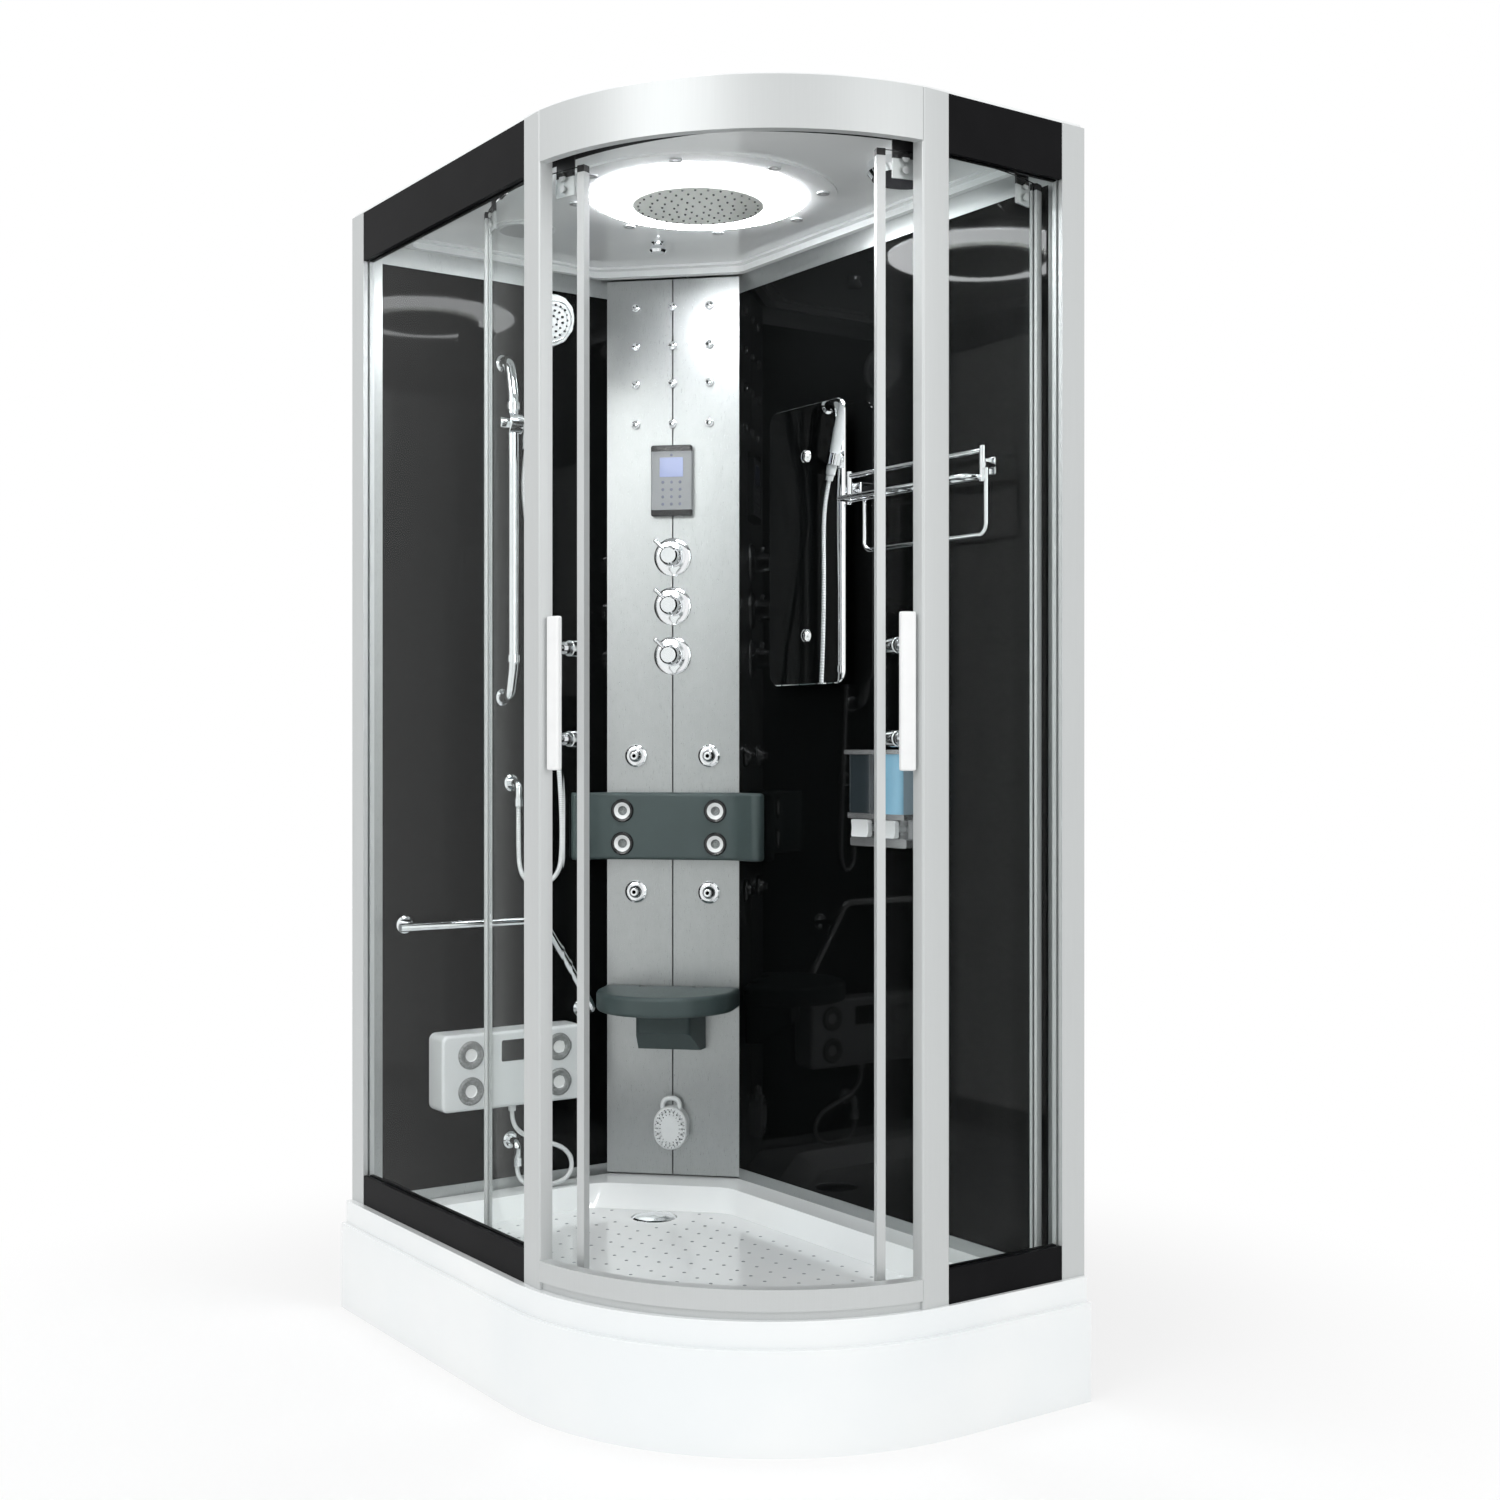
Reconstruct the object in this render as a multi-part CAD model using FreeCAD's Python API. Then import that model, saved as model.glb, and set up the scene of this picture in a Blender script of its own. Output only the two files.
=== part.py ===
import FreeCAD, Part

import math
import os

os.makedirs("parts", exist_ok=True)

# Corner steam shower cabin with a quadrant entrance.  Millimetres, +Z up.
# X runs along the long back wall and Y from the open front to that wall.
# The origin is under the middle of the tray, on the floor.

# ---- driving dimensions ------------------------------------------------
LENGTH = 1200.0
DEPTH = 800.0
FRONT_SETBACK = 22.0
SIDE_SETBACK = 16.0
FRAME_BOTTOM = 203.0
FRAME_HEIGHT = 1885.0
SLIP = 0.3
RUN = 0.05
SEAT = 0.02

TRAY_CORNER = 520.0
SKIRT_HEIGHT = 162.0
SKIRT_WALL = 4.0
RIM_INSET = 10.0
RIM_WALL = 8.0
RIM_WIDTH = 45.0
LEDGE_DROP = 13.0
LEDGE_WIDTH = 62.0
FLOOR_DROP = 40.0
WELL_SLOPE = 26.0
WELL_WALL = 6.0
WELL_SIDE_GAP = 20.0
WELL_FRONT_GAP = 10.0
WELL_LEG_SHARE = 0.6
WELL_CORNER = 40.0
WELL_COLUMN_CORNER = 70.0
WELL_CURVE_INSET = 95.0
DRAIN_X = -335.0
DRAIN_Y = 140.0
DRAIN_DIAMETER = 88.0
DRAIN_BORE = 52.0
FRAME_TUBE = 25.0
FOOT_PAD = 46.0
FOOT_ROD = 12.0

POST_WIDTH = 54.0
POST_DEPTH = 24.0
POST_FROM_ARC = 8.5
HEADER_RADIUS = 500.0
HEADER_PROUD = 3.8
HEADER_HEIGHT = 82.0
HEADER_SHEET = 3.0
RAIL_BAND = 14.0
RAIL_HEIGHT = 33.0
RAIL_DEPTH = 22.0
BAR_TOP = 92.0
BAR_BOTTOM = 55.0
BAR_DEPTH = 22.0
END_FRONT = 53.0
END_SIDE = 50.0
PROFILE_WALL = 2.5
GLASS = 6.0
GLASS_BITE = 12.0

WALL_DEPTH = 35.0
STILE = 33.0
HIDDEN_STILE = 20.0
WALL_GLASS_BITE = 8.0
WALL_TOP_RAIL = 95.0
WALL_BOTTOM_RAIL = 30.0
COLUMN_LEG = 197.0
COLUMN_SHEET = 3.0
COLUMN_RETURN = 20.0
COLUMN_SEAM = 1.5
COLUMN_TOP_GAP = 2.0

ROOF_SHEET = 4.0
ROOF_RIM = 50.0
ROOF_INSET = 66.0
CEILING_DROP = 33.0
CEILING_BORDER = 26.0
MOULDING_RADIUS = 249.0
MOULDING_STEP = 5.0
RAIN_X = 0.0
RAIN_Y = 24.0
RAIN_RADIUS = 128.0
RAIN_DROP = 9.0
RING_RADIUS = 193.0
RING_DROP = 6.0
SPOT_CIRCLE = 224.0
SPOT_RADIUS = 11.0
SPOT_COUNT = 8
SPEAKER_X = -369.0
SPEAKER_Y = -131.0
SPEAKER_RADIUS = 60.0
FAN_X = 350.0
FAN_Y = 217.0
FAN_RADIUS = 68.0
FAN_BLADES = 7
KNOB_X = -296.0
KNOB_Y = 124.0

DOOR_RADIUS = 455.0
DOOR_GLASS = 5.0
DOOR_ARC = 44.2
DOOR_MEETING = 0.35
DOOR_PIVOT = 166.0
DOOR_OPEN = 22.6
DOOR_BOTTOM = 224.0
DOOR_TOP = 2000.0
DOOR_EDGE = 14.0
DOOR_REAR_EDGE = 18.0
EDGE_DEPTH = 14.0
ROLLER_SPREAD = 16.0
ROLLER_INSET = 14.0
WHEEL_RADIUS = 11.0
WHEEL_WIDTH = 7.0
AXLE_RADIUS = 3.0
TRACK_SHEET = 3.0
HANGER_WIDTH = 40.0
HANDLE_BOTTOM = 1034.0
HANDLE_TOP = 1280.0
HANDLE_WIDTH = 24.0
HANDLE_DEPTH = 12.0
HANDLE_STANDOFF = 34.0
HANDLE_FROM_EDGE = 40.5
HANDLE_STUD_INSET = 50.0
KNOB_RADIUS = 13.0
KNOB_INSIDE = 36.0

NOZZLE_COLUMNS = (-77.5, 0.0, 77.5)
NOZZLE_ROWS = (1979.0, 1899.0, 1821.0, 1738.0)
NOZZLE_RADIUS = 9.0
PANEL_WIDTH = 86.0
PANEL_HEIGHT = 146.0
PANEL_MIDDLE = 1620.0
PANEL_THICK = 14.0
VALVE_ROWS = (1464.0, 1363.0, 1261.0)
ROSETTE_RADIUS = 39.0
VALVE_KNOB_RADIUS = 22.5
VALVE_STEM = 8.0
SCREEN_HALF = 25.0
SCREEN_LOW = 1627.0
SCREEN_HIGH = 1668.0
SCREEN_SLIP = 0.5
KEY_COLUMNS = (-18.0, 0.0, 18.0)
KEY_ROWS = (1617.0, 1602.0, 1587.0, 1572.0)
SENSOR_HEIGHT = 1672.5
JET_COLUMNS = (-77.0, 77.0)
JET_ROWS = (1055.0, 775.0)
JET_RADIUS = 23.5
JET_SWIVEL = 14.0
JET_DEPTH = -3.5
JET_PIN = 3.0
JET_PIN_RADIUS = 2.5
MASSAGER_BOTTOM = 843.0
MASSAGER_HEIGHT = 137.0
MASSAGER_FLAT = 277.0
MASSAGER_DEPTH = 40.0
MASSAGER_WING = 66.0
LUMBAR_COLUMNS = (-97.0, 97.0)
LUMBAR_ROWS = (943.0, 876.0)
LUMBAR_RADIUS = 23.6
SEAT_TOP = 582.0
SEAT_THICK = 41.0
SEAT_HALF = 142.0
SEAT_REACH = 200.0
HINGE_HEIGHT = 572.0
HINGE_OUT = 16.0
HINGE_PIN = 4.0
HINGE_EAR = 8.0
HINGE_EAR_WIDTH = 18.0
SEAT_POCKET = 16.0
BRACKET_BOTTOM = 456.0
BRACKET_HALF = 70.0
BRACKET_REACH = 96.0
OUTLET_BOTTOM = 249.0
OUTLET_WIDTH = 70.0
OUTLET_HEIGHT = 88.0
OUTLET_THICK = 28.0
SHANK = 5.0

RISER_X = -79.0
RISER_OUT = 52.0
RISER_RADIUS = 12.0
RISER_BOTTOM = 1172.0
RISER_TOP = 1838.0
SLIDER_HEIGHT = 1711.0
SLIDER_RADIUS = 22.0
SLIDER_SIDE = 16.0
HANDSET_X = -47.0
HANDSET_OUT = 66.0
HANDSET_TILT = 19.0
HANDSET_GRIP = 11.5
HANDSET_REACH = 190.0
HANDSET_TAIL = 50.0
HEAD_RADIUS = 50.0
HOSE_RADIUS = 4.75
FLANGE_RADIUS = 17.0
FOOT_WINDOW = (-110.0, -42.0, 455.0, 497.0)
FOOT_WINDOW_DEPTH = 3.0
FOOT_RING_COLUMNS = (-171.0, 21.0)
FOOT_RING_ROWS = (473.5, 403.3)
GRAB_OUT = 60.0
GRAB_RADIUS = 8.0
GRAB_HEIGHT = 729.0
GRAB_START = -320.0
GRAB_BEND = -16.0
GRAB_END = 104.0
GRAB_SLOPE = 1.594
GRAB_STAND = 36.0
GRAB_MIDDLE = 28.0
FOOT_X0 = -232.0
FOOT_X1 = 80.0
FOOT_Z0 = 365.0
FOOT_Z1 = 515.0
FOOT_OUT = 60.0
FOOT_RING_OUTER = 27.5
FOOT_RING_INNER = 13.0
ELBOW_OUT = 34.0
NIPPLE = 12.0
MASSAGER_HOSE_X = -75.0
MASSAGER_HOSE_Y = -40.0
SHOWER_ELBOW = (-57.0, 1001.0)
MASSAGER_ELBOW = (-60.0, 287.0)

MIRROR_X0 = -213.0
MIRROR_X1 = 30.0
MIRROR_Z0 = 1192.0
MIRROR_Z1 = 1727.0
MIRROR_OUT = 30.0
MIRROR_THICK = 5.0
MIRROR_STUD_X = -91.0
MIRROR_STUD_ROWS = (1629.0, 1286.0)
RACK_X0 = 50.0
RACK_X1 = 416.0
RACK_Z = 1548.0
RACK_OUT = 38.0
RACK_BLOCK = 15.0
GALLERY_Z = 1574.0
SHELF_Z = 1529.0
SHELF_DEPTH = 74.0
TOWEL_X0 = 95.0
TOWEL_X1 = 425.0
TOWEL_Z = 1432.0
TOWEL_OUT = 38.0
TOWEL_RADIUS = 4.4
SOAP_X0 = 74.0
SOAP_X1 = 236.0
SOAP_Z0 = 892.0
SOAP_Z1 = 1067.0
SOAP_OUT = 70.0
SOAP_TANK_Z0 = 952.0
LEVER_TRAVEL = 8.0
LEVER_WIDTH = 48.0


# ---- derived planes ----------------------------------------------------
LEFT = -LENGTH / 2
RIGHT = LENGTH / 2 - SIDE_SETBACK
BACK = DEPTH / 2
FRONT = -DEPTH / 2 + FRONT_SETBACK
FRAME_TOP = FRAME_BOTTOM + FRAME_HEIGHT
LEDGE = FRAME_BOTTOM - LEDGE_DROP
FLOOR = LEDGE - FLOOR_DROP
WALL_X = LEFT + WALL_DEPTH
WALL_Y = BACK - WALL_DEPTH
ARC_X = RIGHT - HEADER_RADIUS + HEADER_PROUD
ARC_Y = FRONT + HEADER_RADIUS - HEADER_PROUD
POST_X0 = ARC_X + POST_FROM_ARC
POST_X1 = POST_X0 + POST_WIDTH
SIDE_POST_Y0 = ARC_Y - POST_FROM_ARC - POST_WIDTH
SIDE_POST_Y1 = ARC_Y - POST_FROM_ARC
CEILING = FRAME_TOP - CEILING_DROP
RIM_BOTTOM = FRAME_TOP - ROOF_RIM


# ---- shape helpers -----------------------------------------------------
def vec(x, y, z=0.0):
    return FreeCAD.Vector(x, y, z)


def block(x0, x1, y0, y1, z0, z1):
    """Box between two opposite corners, given as sorted pairs."""
    return Part.makeBox(x1 - x0, y1 - y0, z1 - z0, vec(x0, y0, z0))


def rod(start, end, radius):
    """Round bar from one point to another."""
    span = end - start
    return Part.makeCylinder(radius, span.Length, start, span)


def ring(start, end, outer, inner):
    """Round bar with a bore."""
    return rod(start, end, outer).cut(rod(start, end, inner))


def corner(before, here, after, radius):
    """Start, middle and end of the arc that rounds one corner."""
    if radius <= 0.0:
        return here, None, here
    a = (before - here).normalize()
    b = (after - here).normalize()
    half = a.getAngle(b) / 2
    reach = radius / math.tan(half)
    middle = (a + b).normalize()
    centre = here + middle * (radius / math.sin(half))
    return here + a * reach, centre - middle * radius, here + b * reach


def joined(spans, closed):
    """Edges through a row of corner arcs, with straight runs between them."""
    edges = []
    for i, (start, middle, end) in enumerate(spans):
        if middle is not None:
            edges.append(Part.Arc(start, middle, end).toShape())
        if i + 1 < len(spans) or closed:
            following = spans[(i + 1) % len(spans)][0]
            if end.distanceToPoint(following) > 1e-6:
                edges.append(Part.LineSegment(end, following).toShape())
    return Part.Wire(edges)


def outline(corners, z=0.0):
    """Closed plan outline through (x, y, radius) corners."""
    points = [vec(x, y, z) for x, y, _ in corners]
    count = len(points)
    spans = []
    for i in range(count):
        spans.append(corner(points[i - 1], points[i], points[(i + 1) % count], corners[i][2]))
    return joined(spans, True)


def prism(corners, z0, z1):
    """Upright solid on a plan outline."""
    return Part.Face(outline(corners, z0)).extrude(vec(0, 0, z1 - z0))


def route(points, radii):
    """Open path of straight runs joined by tangent arcs."""
    spans = [(points[0], None, points[0])]
    for i, radius in enumerate(radii):
        spans.append(corner(points[i], points[i + 1], points[i + 2], radius))
    spans.append((points[-1], None, points[-1]))
    return joined(spans, False)


def bent_rod(points, radii, radius, bore=0.0):
    """Bar or tube of round section bent along a path."""
    path = route(points, radii)
    start = (points[1] - points[0]).normalize()
    section = Part.Wire(Part.Circle(points[0], start, radius).toShape())
    solid = path.makePipeShell([section], True, False)
    if bore > 0.0:
        inner = Part.Wire(Part.Circle(points[0], start, bore).toShape())
        solid = solid.cut(path.makePipeShell([inner], True, False))
    return solid


def turned(profile, start, axis):
    """Revolve (radius, height) points about an axis through a start point."""
    points = [vec(r, 0, h) for r, h in profile]
    face = Part.Face(Part.makePolygon(points + [points[0]]))
    solid = face.revolve(vec(0, 0, 0), vec(0, 0, 1), 360)
    turn = FreeCAD.Rotation(vec(0, 0, 1), axis)
    solid.Placement = FreeCAD.Placement(start, turn)
    return solid


def sector(cx, cy, inner, outer, a0, a1, z0, z1):
    """Part of a ring in plan between two angles in degrees, as an upright wall."""
    def at(radius, angle):
        t = math.radians(angle)
        return vec(cx + radius * math.cos(t), cy + radius * math.sin(t), z0)
    mid = (a0 + a1) / 2
    edges = [
        Part.Arc(at(outer, a0), at(outer, mid), at(outer, a1)).toShape(),
        Part.LineSegment(at(outer, a1), at(inner, a1)).toShape(),
        Part.Arc(at(inner, a1), at(inner, mid), at(inner, a0)).toShape(),
        Part.LineSegment(at(inner, a0), at(outer, a0)).toShape(),
    ]
    return Part.Face(Part.Wire(edges)).extrude(vec(0, 0, z1 - z0))


def vertical_edges(shape, low=-1e9, high=1e9):
    """Straight upright edges whose middle lies between two heights."""
    found = []
    for edge in shape.Edges:
        if len(edge.Vertexes) != 2:
            continue
        a = edge.Vertexes[0].Point
        b = edge.Vertexes[1].Point
        if abs(a.x - b.x) + abs(a.y - b.y) < 1e-6 and low < (a.z + b.z) / 2 < high:
            found.append(edge)
    return found


def moved(shape, x=0.0, y=0.0, z=0.0):
    """Copy of a shape carried along by an offset."""
    copy = shape.copy()
    copy.translate(vec(x, y, z))
    return copy


def spun(shape, x, y, angle):
    """Copy turned about the upright line through (x, y)."""
    copy = shape.copy()
    copy.rotate(vec(x, y, 0), vec(0, 0, 1), angle)
    return copy


def on_wall(shape, x, y, angle):
    """Carry a fitting drawn facing -Y with its wall plane at y = 0 to its wall."""
    copy = shape.copy()
    copy.rotate(vec(0, 0, 0), vec(0, 0, 1), angle)
    copy.translate(vec(x, y, 0))
    return copy


def on_left(shape):
    return on_wall(shape, WALL_X, 0, 90)


def on_back(shape):
    return on_wall(shape, 0, WALL_Y, 0)


def on_column(shape):
    return on_wall(shape, WALL_X + COLUMN_LEG / 2, WALL_Y - COLUMN_LEG / 2, 45)


def mirrored(shape):
    """The same piece on the other side of the entrance's diagonal."""
    return shape.mirror(vec(ARC_X, ARC_Y, 0), vec(1, 1, 0))


def save(name, *solids):
    """Write one sub-part; several loose solids go in as a group."""
    shape = solids[0] if len(solids) == 1 else Part.makeCompound(list(solids))
    if not shape.isValid():
        print("not valid:", name)
    print(name, len(shape.Solids), round(shape.Volume / 1000.0, 2), "cm3")
    shape.exportStep("parts/" + name + ".step")


# ---- tray --------------------------------------------------------------
def tray_plan(inset, extra=0.0):
    """Tray outline drawn in by an inset; the entrance corner stays concentric."""
    x0 = LEFT + extra
    y1 = BACK - extra
    x1 = LENGTH / 2 - inset
    y0 = -DEPTH / 2 + inset
    return [(x0, y0, 0), (x1, y0, TRAY_CORNER - inset), (x1, y1, 0), (x0, y1, 0)]


def well_plan(grow):
    """Outline of the sunken floor, cut off square to the column."""
    x0 = WALL_X + LEDGE_WIDTH - grow
    y1 = WALL_Y - LEDGE_WIDTH + grow
    x1 = LENGTH / 2 - RIM_WIDTH - RIM_INSET - WELL_SIDE_GAP + grow
    y0 = -DEPTH / 2 + RIM_WIDTH + RIM_INSET + WELL_FRONT_GAP - grow
    leg = COLUMN_LEG - WELL_FRONT_GAP - WELL_LEG_SHARE * grow
    small = WELL_CORNER
    wide = WELL_COLUMN_CORNER
    return [(x0, y0, small), (x1, y0, TRAY_CORNER - WELL_CURVE_INSET), (x1, y1, small),
            (x0 + leg, y1, wide), (x0, y1 - leg, wide)]


def well_cutter(top, bottom, grow):
    """Sloping-sided plug between the ledge and the floor."""
    upper = outline(well_plan(grow), top)
    lower = outline(well_plan(grow - WELL_SLOPE), bottom)
    return Part.makeLoft([upper, lower], True, True)


def tray_basin():
    """Moulded basin: rim, ledge for the walls, sloping well and drain socket."""
    under = FLOOR - WELL_WALL
    body = prism(tray_plan(RIM_INSET), SKIRT_HEIGHT, FRAME_BOTTOM)
    body = body.fuse(well_cutter(LEDGE - WELL_WALL, under, WELL_WALL + 2.0))
    plateau = prism(tray_plan(RIM_INSET + RIM_WIDTH, -50.0), LEDGE, FRAME_BOTTOM + 1)
    body = body.cut(plateau)
    left_foot = block(LEFT - 1, WALL_X + SLIP, FRONT + POST_DEPTH, BACK + 1, LEDGE, FRAME_BOTTOM + 1)
    back_foot = block(LEFT - 1, RIGHT - POST_DEPTH, WALL_Y - SLIP, BACK + 1, LEDGE, FRAME_BOTTOM + 1)
    body = body.cut(left_foot).cut(back_foot)
    body = body.cut(well_cutter(LEDGE, FLOOR, 0.0))
    pocket = prism(tray_plan(RIM_INSET + RIM_WALL, RIM_WALL), SKIRT_HEIGHT - 30, LEDGE - WELL_WALL)
    keep = well_cutter(LEDGE, under, WELL_WALL + 2.0)
    keep = keep.fuse(Part.makeCylinder(DRAIN_DIAMETER / 2 + 8, 80, vec(DRAIN_X, DRAIN_Y, under - 40)))
    body = body.cut(pocket.cut(keep))
    socket = Part.makeCylinder(DRAIN_DIAMETER / 2 + 8, WELL_WALL + 10, vec(DRAIN_X, DRAIN_Y, under - 10))
    body = body.fuse(socket)
    recess = Part.makeCylinder(DRAIN_DIAMETER / 2 + 1, 6.0, vec(DRAIN_X, DRAIN_Y, FLOOR - 4.0))
    bore = Part.makeCylinder(DRAIN_BORE / 2, 60, vec(DRAIN_X, DRAIN_Y, FLOOR - 40))
    return body.cut(recess).cut(bore)


def tray_skirt():
    """Apron under the rim on the three open sides, with a turned-in top lip."""
    outer = prism(tray_plan(0.0), 0.0, SKIRT_HEIGHT)
    inner = prism(tray_plan(SKIRT_WALL, -50.0), -1.0, SKIRT_HEIGHT - SKIRT_WALL)
    lip = prism(tray_plan(RIM_INSET + RIM_WALL + 6.0, -50.0), 0.0, SKIRT_HEIGHT + 1)
    return outer.cut(inner).cut(lip)


def foot(x, y):
    """Levelling foot: rubber pad, threaded rod and lock nut in one turning."""
    pad = FOOT_PAD / 2
    bar = FOOT_ROD / 2
    profile = [(0, 0), (pad, 0), (pad, 6), (pad - 6, 14), (bar, 16), (bar, 60),
               (bar + 4, 60), (bar + 4, 68), (bar, 68), (bar, 74), (0, 74)]
    return turned(profile, vec(x, y, 0), vec(0, 0, 1))


def tray_frame():
    """Welded square-tube frame under the basin, on levelling feet."""
    z1 = FLOOR - WELL_WALL - SEAT
    z0 = z1 - FRAME_TUBE
    half = FRAME_TUBE / 2
    x0 = LEFT + 60.0
    x1 = LENGTH / 2 - 100.0
    y0 = -DEPTH / 2 + 90.0
    y1 = BACK - 60.0
    bars = []
    for y in (y0, y1):
        end = x1 if y > 0 else x1 - 230.0
        bars.append(block(x0, end, y - half, y + half, z0, z1))
    feet = []
    for x in (x0 + 20.0, 0.0, x1 - 240.0):
        bars.append(block(x - half, x + half, y0 - half, y1 + half, z0, z1))
        for y in (y0, y1):
            feet.append((x, y))
    bars.append(block(x1 - half, x1 + half, -60.0, y1 + half, z0, z1))
    bars.append(block(x1 - 240.0, x1 + half, -60.0 - half, -60.0 + half, z0, z1))
    feet.append((x1, y1))
    feet.append((x1, -60.0))
    frame = bars[0]
    for bar in bars[1:]:
        frame = frame.fuse(bar)
    frame = frame.removeSplitter()
    solids = []
    lift = z0 - 60.0
    for x, y in feet:
        hole = Part.makeCylinder(FOOT_ROD / 2 + RUN, 80, vec(x, y, z0 - 10))
        frame = frame.cut(hole)
        leg = foot(x, y)
        if lift > 0:
            stem = Part.makeCylinder(FOOT_ROD / 2, lift, vec(x, y, 70))
            leg = leg.fuse(stem).removeSplitter()
        solids.append(leg)
    return [frame] + solids


def drain_cover():
    """Domed cap over the outlet, with a spigot that keeps it central."""
    r = DRAIN_DIAMETER / 2
    stem = DRAIN_BORE / 2 - 4.0
    profile = [(0, 9), (r * 0.55, 8), (r * 0.9, 5), (r, 2), (r, 0.0), (stem, 0.0),
               (stem, -18), (stem - 3, -18), (stem - 3, 3), (0, 5)]
    return turned(profile, vec(DRAIN_X, DRAIN_Y, FLOOR - 4.0 + SEAT), vec(0, 0, 1))


def drain_trap():
    """Low bottle trap hung under the outlet, with a side waste pipe."""
    top = FLOOR - WELL_WALL - 10.0 - SEAT
    outer = DRAIN_BORE / 2 + 14.0
    inner = DRAIN_BORE / 2
    profile = [(inner, 0), (outer, 0), (outer, -8), (outer - 6, -14), (outer - 6, -80),
               (outer - 14, -92), (0, -92), (0, -86), (inner, -78)]
    cup = turned(profile, vec(DRAIN_X, DRAIN_Y, top), vec(0, 0, 1))
    start = vec(DRAIN_X, DRAIN_Y + outer - 8, top - 45)
    pipe = bent_rod([start, start + vec(0, 60, 0), start + vec(-110, 60, 0)], [40.0], 20.0, 17.0)
    return cup.fuse(pipe)


# ---- glazed frame ------------------------------------------------------
def end_profiles():
    """Open channels that close the two ends of the glazing against the walls."""
    front = block(LEFT, LEFT + END_FRONT, FRONT, FRONT + POST_DEPTH, FRAME_BOTTOM, FRAME_TOP)
    x = LEFT + END_FRONT
    y = FRONT + POST_DEPTH / 2
    front = front.cut(glass_slot(x - GLASS_BITE, x, y, 0))
    side = block(RIGHT - POST_DEPTH, RIGHT, BACK - END_SIDE, BACK, FRAME_BOTTOM, FRAME_TOP)
    side = side.cut(glass_slot(BACK - END_SIDE, BACK - END_SIDE + GLASS_BITE, RIGHT - POST_DEPTH / 2, 1))
    return [hollowed(front), hollowed(side)]


def glass_slot(low, high, middle, along):
    """Groove for the fixed glass, full height, with a slip fit each side."""
    half = GLASS / 2 + SLIP
    if along == 0:
        return block(low, high, middle - half, middle + half, FRAME_BOTTOM - 1, FRAME_TOP + 1)
    return block(middle - half, middle + half, low, high, FRAME_BOTTOM - 1, FRAME_TOP + 1)


def hollowed(bar):
    """Extrusion chamber through an upright, behind the glass groove."""
    box = bar.BoundBox
    wide = box.XLength > box.YLength
    wall = PROFILE_WALL
    away = GLASS_BITE + 2 * wall
    if wide:
        x0 = box.XMin + wall if box.XMin <= LEFT + 1 else box.XMin + away
        x1 = box.XMax - away if box.XMin <= LEFT + 1 else box.XMax - wall
        y0 = box.YMin + wall
        y1 = box.YMax - wall
    else:
        x0 = box.XMin + wall
        x1 = box.XMax - wall
        y0 = box.YMin + away
        y1 = box.YMax - wall
    hole = block(x0, x1, y0, y1, FRAME_BOTTOM - 1, FRAME_TOP + 1)
    return bar.cut(hole)


def door_posts():
    """The two uprights where the fixed glass ends and the doors begin."""
    x = POST_X0
    y = FRONT + POST_DEPTH / 2
    front = block(POST_X0, POST_X1, FRONT, FRONT + POST_DEPTH, FRAME_BOTTOM, FRAME_TOP)
    front = front.makeFillet(4.0, [e for e in vertical_edges(front) if e.Vertexes[0].Y < FRONT + 1])
    away = GLASS_BITE + 2 * PROFILE_WALL
    chamber = block(POST_X0 + away, POST_X1 - PROFILE_WALL, FRONT + PROFILE_WALL,
                    FRONT + POST_DEPTH - PROFILE_WALL, FRAME_BOTTOM - 1, FRAME_TOP + 1)
    front = front.cut(glass_slot(x, x + GLASS_BITE, y, 0)).cut(chamber)
    return [front, mirrored(front)]


def fixed_glass():
    """Front and side panes, held in the uprights and in the black bars."""
    bite = GLASS_BITE - 1.0
    low = FRAME_BOTTOM + BAR_BOTTOM - bite
    high = FRAME_TOP - BAR_TOP + bite
    y = FRONT + POST_DEPTH / 2
    x = RIGHT - POST_DEPTH / 2
    half = GLASS / 2
    front = block(LEFT + END_FRONT - bite, POST_X0 + bite, y - half, y + half, low, high)
    side = block(x - half, x + half, SIDE_POST_Y1 - bite, BACK - END_SIDE + bite, low, high)
    return front, side


def glass_bars():
    """Black bars above and below each pane, grooved for the glass."""
    groove = GLASS / 2 + SLIP
    back_off = (POST_DEPTH - BAR_DEPTH) / 2
    y0 = FRONT + back_off
    y1 = y0 + BAR_DEPTH
    x1 = RIGHT - back_off
    x0 = x1 - BAR_DEPTH
    y = FRONT + POST_DEPTH / 2
    x = RIGHT - POST_DEPTH / 2
    bars = []
    levels = ((FRAME_BOTTOM, FRAME_BOTTOM + BAR_BOTTOM), (FRAME_TOP - BAR_TOP, FRAME_TOP))
    for z0, z1 in levels:
        upper = z1 > FRAME_TOP - 1
        g0 = z0 - 1 if upper else z1 - GLASS_BITE
        g1 = z0 + GLASS_BITE if upper else z1 + 1
        front = block(LEFT + END_FRONT, POST_X0, y0, y1, z0, z1)
        bars.append(front.cut(block(LEFT, POST_X0 + 1, y - groove, y + groove, g0, g1)))
        side = block(x0, x1, SIDE_POST_Y1, BACK - END_SIDE, z0, z1)
        bars.append(side.cut(block(x - groove, x + groove, SIDE_POST_Y1 - 1, BACK, g0, g1)))
    return bars


def arc_angle(offset):
    """Angle about the arc's centre where a plane offset from it meets the header."""
    return math.degrees(math.acos(offset / HEADER_RADIUS))


def curved_reach():
    """Angles between which the curved pieces span, post face to post face."""
    trim = arc_angle(POST_X1 - ARC_X + SLIP / 2)
    return -trim, -90.0 + trim


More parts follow.
